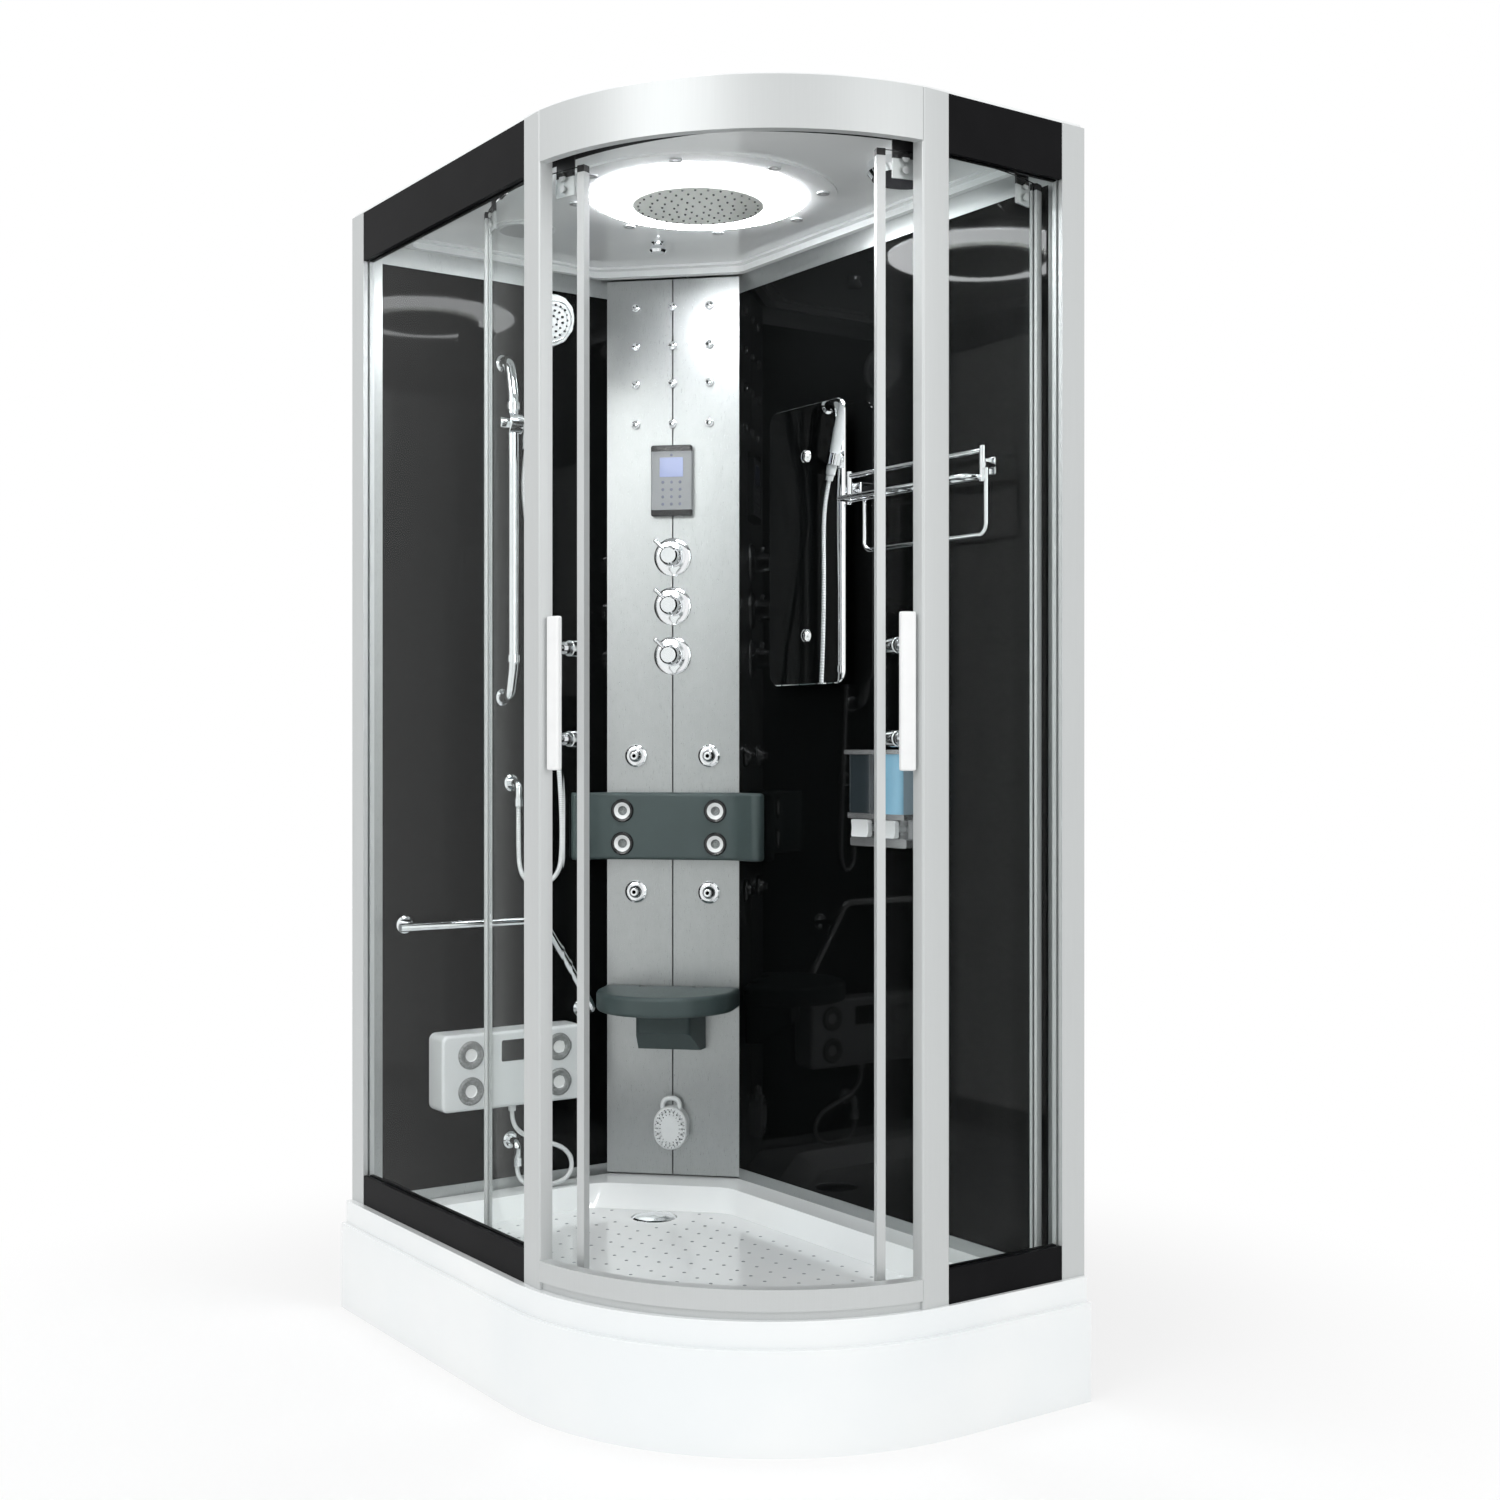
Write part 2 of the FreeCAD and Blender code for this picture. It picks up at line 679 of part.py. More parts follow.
def header_cover():
    """Curved fascia over the doors: a bent sheet with a turned-in lower edge."""
    start, end = curved_reach()
    z0 = FRAME_TOP - HEADER_HEIGHT
    sheet = sector(ARC_X, ARC_Y, HEADER_RADIUS - HEADER_SHEET, HEADER_RADIUS, start, end, z0, FRAME_TOP)
    lip = sector(ARC_X, ARC_Y, HEADER_RADIUS - 16.0, HEADER_RADIUS - 1.0, start, end, z0, z0 + HEADER_SHEET)
    top = sector(ARC_X, ARC_Y, HEADER_RADIUS - 26.0, HEADER_RADIUS - 1.0, start, end,
                 FRAME_TOP - HEADER_SHEET, FRAME_TOP)
    return clear_of_posts(sheet.fuse(lip).fuse(top).removeSplitter())


def clear_of_posts(shape):
    """Trim a curved piece square against the inner face of both posts."""
    reach = 2 * HEADER_RADIUS
    low = FRAME_BOTTOM - 50
    high = FRAME_TOP + 50
    keep = block(POST_X1 + SEAT, ARC_X + reach, ARC_Y - reach, SIDE_POST_Y0 - SEAT, low, high)
    return shape.common(keep)


def bottom_rail():
    """Curved threshold: a face, a recessed band below and a guide lip inside."""
    start, end = curved_reach()
    z0 = FRAME_BOTTOM
    z1 = z0 + RAIL_BAND
    z2 = z1 + RAIL_HEIGHT
    face = sector(ARC_X, ARC_Y, HEADER_RADIUS - RAIL_DEPTH, HEADER_RADIUS, start, end, z1, z2)
    band = sector(ARC_X, ARC_Y, HEADER_RADIUS - RAIL_DEPTH, HEADER_RADIUS - 6.0, start, end, z0, z1)
    foot_lip = sector(ARC_X, ARC_Y, DOOR_RADIUS - 28.0, HEADER_RADIUS - 6.0, start, end, z0, z0 + 4.0)
    return clear_of_posts(face.fuse(band).fuse(foot_lip).removeSplitter())


# ---- walls -------------------------------------------------------------
def wall_parts(length, start_stile, end_stile):
    """Frame and glass of one wall, drawn facing -Y from x = 0, wall plane at y = 0."""
    z0 = LEDGE
    z1 = FRAME_TOP
    low = z0 + WALL_BOTTOM_RAIL
    high = z1 - WALL_TOP_RAIL
    frame = block(0, length, 0, WALL_DEPTH, z0, z1)
    window = block(start_stile, length - end_stile, -1, WALL_DEPTH + 1, low, high)
    bite = WALL_GLASS_BITE
    room = bite + SLIP
    slot = block(start_stile - room, length - end_stile + room, -1, GLASS, low - room, high + room)
    frame = frame.cut(window).cut(slot)
    glass = block(start_stile - bite, length - end_stile + bite, SEAT, GLASS - SEAT,
                  low - bite, high + bite)
    return frame, glass


def side_walls():
    """Left and back walls; the back wall butts against the left one."""
    left_run = BACK - FRONT - POST_DEPTH
    frame, glass = wall_parts(left_run, STILE, HIDDEN_STILE + WALL_DEPTH)
    start = FRONT + POST_DEPTH
    left_frame = on_left(moved(frame, start))
    left_glass = on_left(moved(glass, start))
    back_run = RIGHT - POST_DEPTH - WALL_X
    frame, glass = wall_parts(back_run, HIDDEN_STILE, STILE)
    back_frame = on_back(moved(frame, WALL_X))
    back_glass = on_back(moved(glass, WALL_X))
    return left_frame, left_glass, back_frame, back_glass


def column_panels(holes):
    """Two folded sheets across the back corner, meeting at a centre seam."""
    half = COLUMN_LEG / math.sqrt(2)
    t = COLUMN_SHEET
    z0 = LEDGE + 4.0
    z1 = RIM_BOTTOM - COLUMN_TOP_GAP
    corners = [(COLUMN_SEAM / 2, 0, 0), (half - SLIP, 0, 0), (half - SLIP - t, t, 0),
               (COLUMN_SEAM / 2 + t, t, 0), (COLUMN_SEAM / 2 + t, COLUMN_RETURN, 0),
               (COLUMN_SEAM / 2, COLUMN_RETURN, 0)]
    right = prism(corners, z0, z1)
    left = right.mirror(vec(0, 0, 0), vec(1, 0, 0))
    for hole in holes:
        right = right.cut(hole)
        left = left.cut(hole)
    return on_column(left), on_column(right)


# ---- roof --------------------------------------------------------------
def roof_plan(inset):
    """Roof outline drawn in from the frame, with the entrance corner rounded."""
    x0 = LEFT + inset
    x1 = RIGHT - inset
    y0 = FRONT + inset
    y1 = BACK - inset
    return [(x0, y0, 12), (x1, y0, HEADER_RADIUS - inset), (x1, y1, 12), (x0, y1, 12)]


def ceiling_plan(inset):
    """Inside of the sunken ceiling: clear of the door track and of the column."""
    x0 = WALL_X + inset + SLIP
    y1 = WALL_Y - inset - SLIP
    x1 = RIGHT - ROOF_INSET - 14.0 - inset
    y0 = FRONT + ROOF_INSET + 14.0 + inset
    leg = COLUMN_LEG + 12.0
    return [(x0, y0, 30), (x1, y0, HEADER_RADIUS - 90.0 - inset), (x1, y1, 30),
            (x0 + leg, y1, 30), (x0, y1 - leg, 30)]


def roof_shell():
    """One moulded sheet: flange on the frame, wall down to a rim, ceiling panel."""
    t = ROOF_SHEET
    flange = prism(roof_plan(1.0), FRAME_TOP, FRAME_TOP + t)
    drop = prism(ceiling_plan(0.0), RIM_BOTTOM, FRAME_TOP + t)
    shell = flange.fuse(drop)
    shell = shell.cut(prism(ceiling_plan(t), CEILING + t, FRAME_TOP + t + 1))
    step = MOULDING_STEP
    shell = shell.cut(prism(ceiling_plan(CEILING_BORDER / 2), RIM_BOTTOM - 1, CEILING - step))
    shell = shell.cut(prism(ceiling_plan(CEILING_BORDER), RIM_BOTTOM - 1, CEILING))
    disc = Part.makeCylinder(MOULDING_RADIUS, t, vec(RAIN_X, RAIN_Y, CEILING - step + 1))
    dish = Part.makeCylinder(RING_RADIUS + 4.0, 3.0, vec(RAIN_X, RAIN_Y, CEILING - step + 1))
    shell = shell.fuse(disc.cut(dish)).removeSplitter()
    for x, y, radius in roof_holes():
        shell = shell.cut(Part.makeCylinder(radius, 80, vec(x, y, CEILING - 40)))
    return shell


def spot_centres():
    """Spots on a circle round the rain head, turned to face the entrance."""
    places = []
    for i in range(SPOT_COUNT):
        angle = math.radians(47.0 + i * 360.0 / SPOT_COUNT)
        places.append((RAIN_X + SPOT_CIRCLE * math.cos(angle), RAIN_Y + SPOT_CIRCLE * math.sin(angle)))
    return places


def roof_holes():
    """Every round hole through the ceiling panel."""
    holes = [(x, y, SPOT_RADIUS - 2.0) for x, y in spot_centres()]
    holes.append((RAIN_X, RAIN_Y, 14.0))
    holes.append((SPEAKER_X, SPEAKER_Y, SPEAKER_RADIUS - 12.0))
    holes.append((FAN_X, FAN_Y, FAN_RADIUS - 6.0))
    holes.append((KNOB_X, KNOB_Y, 6.0 + SLIP))
    return holes


def ceiling_lights():
    """Diffuser ring round the rain head, and the small flush spots."""
    face = CEILING - MOULDING_STEP + 1
    outer = RING_RADIUS
    inner = RAIN_RADIUS - 6.0
    low = -RING_DROP
    profile = [(inner, 3 - SEAT), (inner, low + 3), (inner + 3, low), (outer - 6, low), (outer, low + 3),
               (outer, 3 - SEAT)]
    solids = [turned(profile, vec(RAIN_X, RAIN_Y, face), vec(0, 0, 1))]
    r = SPOT_RADIUS
    for x, y in spot_centres():
        stem = r - 2 - SLIP
        spot = [(0, -2), (r - 3, -3), (r, -3), (r, -SEAT), (stem, -SEAT), (stem, 10), (0, 10)]
        solids.append(turned(spot, vec(x, y, face), vec(0, 0, 1)))
    return solids


def rain_head():
    """Round overhead shower with a nozzle field, hung on its feed pipe."""
    face = CEILING - MOULDING_STEP - 6.0
    r = RAIN_RADIUS - 7.0
    profile = [(0, 10), (r - 8, 10), (r, 4), (r, -1), (r - 5, -5), (0, -RAIN_DROP)]
    head = turned(profile, vec(RAIN_X, RAIN_Y, face - 4), vec(0, 0, 1))
    feed = Part.makeCylinder(12.0, 84.0, vec(RAIN_X, RAIN_Y, face))
    nut = prism([(RAIN_X + 22 * math.cos(a), RAIN_Y + 22 * math.sin(a), 0)
                 for a in [math.radians(60 * i) for i in range(6)]],
                CEILING + ROOF_SHEET + SEAT, CEILING + ROOF_SHEET + 8)
    head = head.fuse(feed).fuse(nut)
    for ring_index in range(1, 6):
        radius = ring_index * (r - 14) / 5
        count = 6 * ring_index
        for i in range(count):
            a = 2 * math.pi * i / count
            drop = RAIN_DROP - 4.0 * radius / (r - 5)
            x = RAIN_X + radius * math.cos(a)
            y = RAIN_Y + radius * math.sin(a)
            tip = Part.makeCone(1.6, 2.6, 4.5, vec(x, y, face - 4 - drop - 2.5))
            head = head.fuse(tip)
    return head


def ceiling_fittings():
    """Loudspeaker grille, fan housing and the small chrome knob."""
    r = SPEAKER_RADIUS
    top = CEILING + ROOF_SHEET
    rim = [(0, -5), (r - 8, -5), (r - 8, -3), (r, -1.5), (r, -SEAT), (r - 12 - SLIP, -SEAT),
           (r - 12 - SLIP, 6), (r - 26, 34), (0, 34)]
    solids = [turned(rim, vec(SPEAKER_X, SPEAKER_Y, CEILING), vec(0, 0, 1))]
    f = FAN_RADIUS
    duct = f - 6 - SLIP
    shell = [(duct, 84), (duct, -SEAT), (f, -SEAT), (f, -14), (f - 8, -24), (f - 11, -24), (f - 11, 84)]
    housing = turned(shell, vec(FAN_X, FAN_Y, CEILING), vec(0, 0, 1))
    hub = Part.makeCylinder(16, 26, vec(FAN_X, FAN_Y, CEILING + 44))
    for i in range(3):
        arm = block(0, f - 9, -4, 4, CEILING + 60, CEILING + 68)
        arm = spun(moved(arm, FAN_X, FAN_Y), FAN_X, FAN_Y, 120 * i)
        hub = hub.fuse(arm)
    shaft = Part.makeCylinder(3.0, 30, vec(FAN_X, FAN_Y, CEILING + 16))
    solids.append(housing.fuse(hub).fuse(shaft).removeSplitter())
    knob = [(0, -24), (14, -23), (17, -18), (15, -12), (9, -6), (13, -3), (13, -SEAT),
            (6, -SEAT), (6, ROOF_SHEET + 8), (0, ROOF_SHEET + 8)]
    solids.append(turned(knob, vec(KNOB_X, KNOB_Y, CEILING), vec(0, 0, 1)))
    return solids


def fan_rotor():
    """Hub and pitched blades that turn on the housing's shaft."""
    low = CEILING + 16
    hub = ring(vec(FAN_X, FAN_Y, low), vec(FAN_X, FAN_Y, low + 27), 14.0, 3.0 + RUN)
    reach = FAN_RADIUS - 11 - 3
    for i in range(FAN_BLADES):
        blade = block(11, reach, -9, 9, -0.9, 0.9)
        blade.rotate(vec(0, 0, 0), vec(1, 0, 0), 32)
        blade.translate(vec(FAN_X, FAN_Y, low + 14))
        hub = hub.fuse(spun(blade, FAN_X, FAN_Y, 360.0 * i / FAN_BLADES))
    return hub


# ---- doors -------------------------------------------------------------
def arc_point(radius, angle, z=0.0):
    """Point at an angle in degrees about the centre of the entrance arc."""
    t = math.radians(angle)
    return vec(ARC_X + radius * math.cos(t), ARC_Y + radius * math.sin(t), z)


LEAD = -45.0 - DOOR_MEETING
REAR = LEAD - DOOR_ARC
MIDDLE = (LEAD + REAR) / 2
PIVOT = arc_point(-DOOR_PIVOT, MIDDLE)


def angle_for(length, radius=DOOR_RADIUS):
    """Angle in degrees that an arc length takes up on the door glass."""
    return math.degrees(length / radius)


def opened(shape):
    """Turn a piece drawn with the front door shut to where it stands open."""
    return spun(shape, PIVOT.x, PIVOT.y, -DOOR_OPEN)


def door_glass():
    half = DOOR_GLASS / 2
    trim = angle_for(EDGE_DEPTH - 10.0)
    pane = sector(ARC_X, ARC_Y, DOOR_RADIUS - half, DOOR_RADIUS + half,
                  REAR + trim, LEAD - trim, DOOR_BOTTOM, DOOR_TOP)
    for angle in roller_angles():
        for z in (DOOR_TOP - 30.0, DOOR_TOP - 12.0):
            pane = pane.cut(radial_rod(angle, DOOR_RADIUS - 10, DOOR_RADIUS + 10, z, 3.5))
    for z in stud_heights():
        pane = pane.cut(radial_rod(handle_angle(), DOOR_RADIUS - 10, DOOR_RADIUS + 10, z, 6.0 + SLIP))
    return pane


def radial_rod(angle, inner, outer, z, radius):
    """Bar square to the door glass at one angle and height."""
    return rod(arc_point(inner, angle, z), arc_point(outer, angle, z), radius)


def edge_strip(near, far, width_out):
    """Curved channel pushed over one upright edge of the glass."""
    half = width_out / 2
    z0 = DOOR_BOTTOM
    z1 = DOOR_TOP
    strip = sector(ARC_X, ARC_Y, DOOR_RADIUS - half, DOOR_RADIUS + half, near, far, z0, z1)
    slot = DOOR_GLASS / 2 + SEAT
    trim = angle_for(EDGE_DEPTH - 10.0 - SEAT)
    glass = sector(ARC_X, ARC_Y, DOOR_RADIUS - slot, DOOR_RADIUS + slot, REAR + trim, LEAD - trim,
                   z0 - 1, z1 + 1)
    return strip.cut(glass)


def roller_angles():
    return MIDDLE - ROLLER_SPREAD, MIDDLE + ROLLER_SPREAD


def roller_centre(angle):
    return arc_point(DOOR_RADIUS - ROLLER_INSET, angle, WHEEL_HEIGHT)


WHEEL_HEIGHT = DOOR_TOP + 38.0
TRACK_RADIUS = (roller_centre(MIDDLE + ROLLER_SPREAD) - vec(PIVOT.x, PIVOT.y, WHEEL_HEIGHT)).Length


def hanger(angle):
    """Plate bolted inside the glass top that carries one wheel on a stub axle."""
    inner = DOOR_RADIUS - DOOR_GLASS / 2 - SEAT
    spread = angle_for(HANGER_WIDTH / 2)
    plate = sector(ARC_X, ARC_Y, inner - 3.0, inner, angle - spread, angle + spread,
                   DOOR_TOP - 42.0, WHEEL_HEIGHT + 9.0)
    centre = roller_centre(angle)
    outward = (centre - vec(PIVOT.x, PIVOT.y, centre.z)).normalize()
    far = centre + outward * (ROLLER_INSET - 4.0)
    axle = rod(centre - outward * (WHEEL_WIDTH / 2 + 2.5), far, AXLE_RADIUS)
    cap = rod(centre - outward * (WHEEL_WIDTH / 2 + 3.0), centre - outward * (WHEEL_WIDTH / 2 + SLIP), 5.0)
    shoulder = rod(centre + outward * (WHEEL_WIDTH / 2 + SLIP), centre + outward * (ROLLER_INSET - 5.0), 4.5)
    piece = plate.fuse(axle).fuse(cap).fuse(shoulder)
    for z in (DOOR_TOP - 30.0, DOOR_TOP - 12.0):
        bolt = radial_rod(angle, inner - 5.0, inner + DOOR_GLASS + 1.0, z, 3.0)
        head = radial_rod(angle, inner + DOOR_GLASS + 2 * SEAT, inner + DOOR_GLASS + 3.0, z, 6.0)
        piece = piece.fuse(bolt).fuse(head)
    return piece.removeSplitter()


def wheel(angle):
    """Grooveless nylon roller with a crowned rim, running on the track lip."""
    centre = roller_centre(angle)
    outward = (centre - vec(PIVOT.x, PIVOT.y, centre.z)).normalize()
    r = WHEEL_RADIUS
    w = WHEEL_WIDTH / 2
    bore = AXLE_RADIUS + RUN
    profile = [(bore, -w), (r - 1, -w), (r, -w + 1), (r, w - 1), (r - 1, w), (bore, w)]
    return turned(profile, centre, outward)


def door_metal():
    """Edge strips and hangers of one door."""
    lead = edge_strip(LEAD - angle_for(DOOR_EDGE), LEAD, EDGE_DEPTH)
    rear = edge_strip(REAR, REAR + angle_for(DOOR_REAR_EDGE), EDGE_DEPTH)
    return [lead, rear] + [hanger(angle) for angle in roller_angles()]


def handle_angle():
    return LEAD - angle_for(HANDLE_FROM_EDGE)


def stud_heights():
    return HANDLE_BOTTOM + HANDLE_STUD_INSET, HANDLE_TOP - HANDLE_STUD_INSET


def door_handle():
    """Upright grip outside, held by two studs with turned knobs inside."""
    angle = handle_angle()
    face = DOOR_RADIUS + DOOR_GLASS / 2
    spread = angle_for(HANDLE_WIDTH / 2)
    outer = face + HANDLE_STANDOFF
    grip = sector(ARC_X, ARC_Y, outer - HANDLE_DEPTH, outer, angle - spread, angle + spread,
                  HANDLE_BOTTOM, HANDLE_TOP)
    grip = grip.makeFillet(3.5, grip.Edges)
    crown = KNOB_RADIUS ** 2 / (2 * (DOOR_RADIUS - DOOR_GLASS))
    for z in stud_heights():
        stud = radial_rod(angle, DOOR_RADIUS - 20.0, outer - 4.0, z, 6.0)
        collar = radial_rod(angle, face + SEAT, face + 6.0, z, 10.0)
        knob = radial_rod(angle, DOOR_RADIUS - KNOB_INSIDE, DOOR_RADIUS - DOOR_GLASS / 2 - SEAT - crown, z,
                          KNOB_RADIUS)
        knob = knob.makeFillet(2.0, knob.Edges)
        grip = grip.fuse(stud).fuse(collar).fuse(knob)
    return grip.removeSplitter()


def track_half():
    """Bent channel for one door: web, running lip and top flange about its pivot."""
    across = (DOOR_RADIUS - ROLLER_INSET) * math.sin(math.radians(ROLLER_SPREAD))
    wide = math.degrees(math.asin(across / TRACK_RADIUS))
    shut = MIDDLE + wide + 12.0
    open_end = MIDDLE - wide - DOOR_OPEN - 3.0
    t = TRACK_SHEET
    lip = WHEEL_HEIGHT - WHEEL_RADIUS - 0.05
    inner = TRACK_RADIUS - 12.0
    web = sector(PIVOT.x, PIVOT.y, inner, inner + t, open_end, shut, lip - t, FRAME_TOP - SLIP)
    foot_lip = sector(PIVOT.x, PIVOT.y, inner, TRACK_RADIUS + 4.0, open_end, shut, lip - t, lip)
    top = sector(PIVOT.x, PIVOT.y, inner, TRACK_RADIUS + 12.0, open_end, shut, FRAME_TOP - SLIP - t,
                 FRAME_TOP - SLIP)
    return web.fuse(foot_lip).fuse(top).removeSplitter()


def door_tracks():
    """Both bent channels, trimmed to meet on the entrance's diagonal."""
    half = track_half()
    far = 3 * HEADER_RADIUS
    wedge = Part.makePolygon([vec(ARC_X, ARC_Y), vec(ARC_X + far, ARC_Y - far),
                              vec(ARC_X - far, ARC_Y - far), vec(ARC_X - far, ARC_Y), vec(ARC_X, ARC_Y)])
    keep = Part.Face(wedge).extrude(vec(0, 0, FRAME_TOP + 50))
    half = half.common(keep)
    return half.fuse(mirrored(half)).removeSplitter()


# ---- column fittings, drawn facing -Y with the wall plane at y = 0 ------


def outward_rod(x, z, y0, y1, radius):
    """Bar square to a wall; y is negative in front of the wall plane."""
    return rod(vec(x, y0, z), vec(x, y1, z), radius)


def facing(profile, x, z, y=0.0):
    """Turning about a line square to the wall; heights run out from the wall."""
    return turned(profile, vec(x, y, z), vec(0, -1, 0))


def nozzle_places():
    return [(x, z) for z in NOZZLE_ROWS for x in NOZZLE_COLUMNS]


def jet_places():
    return [(x, z) for z in JET_ROWS for x in JET_COLUMNS]


def column_holes():
    """Every opening through the folded sheets, in column coordinates."""
    holes = [outward_rod(x, z, -5, 40, SHANK + SLIP) for x, z in nozzle_places()]
    holes += [outward_rod(x, z, -5, 40, 15.0 + SLIP) for x, z in jet_places()]
    holes += [outward_rod(0, z, -5, 40, VALVE_STEM + 4.0 + SLIP) for z in VALVE_ROWS]
    holes.append(outward_rod(0, PANEL_MIDDLE, -5, 40, 14.0))
    holes.append(outward_rod(0, OUTLET_BOTTOM + OUTLET_HEIGHT / 2, -5, 40, 14.0 + SLIP))
    middle = MASSAGER_BOTTOM + MASSAGER_HEIGHT / 2
    holes += [outward_rod(x, middle, -5, 40, 8.0 + SLIP) for x in (-60.0, 60.0)]
    return holes


def micro_nozzles():
    """Small side-spray nozzles: dished face, collar and threaded shank."""
    r = NOZZLE_RADIUS
    s = SHANK
    profile = [(0, 4), (3, 3), (r - 3, 5.5), (r - 1, 5), (r, 3), (r, SEAT), (s, SEAT),
               (s, -COLUMN_SHEET - 12), (0, -COLUMN_SHEET - 12)]
    return [on_column(facing(profile, x, z)) for x, z in nozzle_places()]


def rounded_plate(x0, x1, z0, z1, y0, y1, radius):
    """Plate parallel to the wall with rounded corners."""
    w = Part.Face(outline([(x0, z0, radius), (x1, z0, radius), (x1, z1, radius), (x0, z1, radius)]))
    plate = w.extrude(vec(0, 0, y1 - y0))
    plate.rotate(vec(0, 0, 0), vec(1, 0, 0), 90)
    plate.translate(vec(0, y1, 0))
    return plate


def control_panel():
    """Touch-panel housing with a bezel round the sunken face, and a cable gland."""
    half = PANEL_WIDTH / 2
    z0 = PANEL_MIDDLE - PANEL_HEIGHT / 2
    z1 = PANEL_MIDDLE + PANEL_HEIGHT / 2
    case = rounded_plate(-half, half, z0, z1, -PANEL_THICK, -SEAT, 5.0)
    case = case.makeChamfer(1.5, [e for e in case.Edges if e.BoundBox.YMax < -PANEL_THICK + 0.1])
    face = rounded_plate(-half + 4, half - 4, z0 + 15, z1 - 15, -PANEL_THICK - 1, -PANEL_THICK + 1.5, 3.0)
    gland = outward_rod(0, PANEL_MIDDLE, -2, COLUMN_SHEET + 14, 12.0)
    wide = SCREEN_HALF
    screen = rounded_plate(-wide, wide, SCREEN_LOW, SCREEN_HIGH, -PANEL_THICK, -PANEL_THICK + 2.5, 2.0)
    return case.cut(face).cut(screen).fuse(gland).removeSplitter()


def control_keys():
    """Display pane and the small touch dots under it."""
    out = -PANEL_THICK + 1.5
    wide = SCREEN_HALF - SCREEN_SLIP
    keys = [rounded_plate(-wide, wide, SCREEN_LOW + SCREEN_SLIP, SCREEN_HIGH - SCREEN_SLIP, out - 1.0,
                          out + 1.0 - SEAT, 1.5)]
    for z in KEY_ROWS:
        for x in KEY_COLUMNS:
            keys.append(facing([(0, 0.8), (2.6, 0.8), (3.2, SEAT), (0, SEAT)], x, z, out))
    sensor = [(0, 0.9), (2.2, 0.9), (2.8, SEAT), (0, SEAT)]
    keys.append(facing(sensor, 0, SENSOR_HEIGHT, out))
    return keys


def rosettes():
    """Chrome cover plates and valve bodies of the three controls."""
    r = ROSETTE_RADIUS
    s = VALVE_STEM
    bore = VALVE_STEM / 2 + RUN
    plates = []
    for z in VALVE_ROWS:
        profile = [(bore, 12), (s + 3, 12), (s + 4, 7), (r - 4, 4.5), (r, 1.5), (r, SEAT),
                   (s + 4, SEAT), (s + 4, -34), (bore, -34)]
        plates.append(on_column(facing(profile, 0, z)))
    return plates


def valve_knob(z):
    """Fluted control knob with a lever pin and a stem in the valve body."""
    r = VALVE_KNOB_RADIUS
    s = VALVE_STEM / 2
    profile = [(0, 44), (r - 7, 44), (r - 4, 41), (r, 20), (r, 12 + SLIP), (s, 12 + SLIP),
               (s, -30), (0, -30)]
    knob = facing(profile, 0, z)
    for i in range(12):
        a = math.radians(30 * i)
        x = (r + 3.2) * math.cos(a)
        knob = knob.cut(outward_rod(x, z + (r + 3.2) * math.sin(a), -50, -24, 5.0))
    tilt = math.radians(135)
    direction = vec(math.cos(tilt), 0, math.sin(tilt))
    base = vec(0, -18, z) + direction * (r - 6)
    pin = rod(base, vec(0, -18, z) + direction * 44, 4.0)
    ball = Part.makeSphere(5.0, vec(0, -18, z) + direction * 45)
    return on_column(knob.fuse(pin).fuse(ball))


def jet_bodies():
    """Body-jet flanges with a spherical seat for the swivelling nozzle."""
    r = JET_RADIUS
    b = JET_SWIVEL
    bodies = []
    for x, z in jet_places():
        profile = [(b - 1, 8), (r - 6, 8), (r - 1, 5), (r, 2), (r, SEAT), (15, SEAT), (15, -26),
                   (b - 3, -26), (b - 3, 0)]
        body = facing(profile, x, z)
        ball = Part.makeSphere(b + RUN, vec(x, JET_DEPTH, z))
        reach = b + JET_PIN + SLIP
        bore = rod(vec(x - reach, JET_DEPTH, z), vec(x + reach, JET_DEPTH, z), JET_PIN_RADIUS + RUN)
        bodies.append(on_column(body.cut(ball).cut(bore)))
    return bodies


def jet_nozzle(x, z):
    """Ball nozzle with a short spout and a bored outlet."""
    ball = Part.makeSphere(JET_SWIVEL, vec(x, JET_DEPTH, z))
    ball = ball.cut(block(x - 20, x + 20, 5.0, 30, z - 20, z + 20))
    spout = outward_rod(x, z, -10, -21, 8.5)
    spout = spout.makeFillet(1.5, [e for e in spout.Edges if e.BoundBox.YMax < -20])
    reach = JET_SWIVEL + JET_PIN
    ball = ball.fuse(rod(vec(x - reach, JET_DEPTH, z), vec(x + reach, JET_DEPTH, z), JET_PIN_RADIUS))
    return on_column(ball.fuse(spout).cut(outward_rod(x, z, -30, 10, 4.0)).removeSplitter())


def back_massager():
    """Padded console over the column, with wings folded onto both walls."""
    half = MASSAGER_FLAT / 2
    z0 = MASSAGER_BOTTOM
    z1 = z0 + MASSAGER_HEIGHT
    wing = MASSAGER_WING / math.sqrt(2)
    wall_half = COLUMN_LEG / math.sqrt(2)
    far = MASSAGER_DEPTH
    gap = SLIP
    reach = half + wing + 18.0
    deep = reach - wall_half
    plan = [(-wall_half, -gap, 0), (-reach, -deep - gap * 1.5, 4), (-reach + 14, -deep - 24, 14),
            (-half + 6, -far, 60), (half - 6, -far, 60), (reach - 14, -deep - 24, 14),
            (reach, -deep - gap * 1.5, 4), (wall_half, -gap, 0)]
    body = prism(plan, z0, z1)
    rounded = [e for e in body.Edges if abs(e.BoundBox.ZLength) < 0.01 and e.BoundBox.YMax < -12]
    body = body.makeFillet(7.0, rounded)
    for x in LUMBAR_COLUMNS:
        for z in LUMBAR_ROWS:
            body = body.cut(outward_rod(x, z, -far - 20, -far + 9, LUMBAR_RADIUS + SLIP))
    for x in (-60.0, 60.0):
        body = body.fuse(outward_rod(x, (z0 + z1) / 2, -4, COLUMN_SHEET + 10, 8.0))
    return on_column(body)


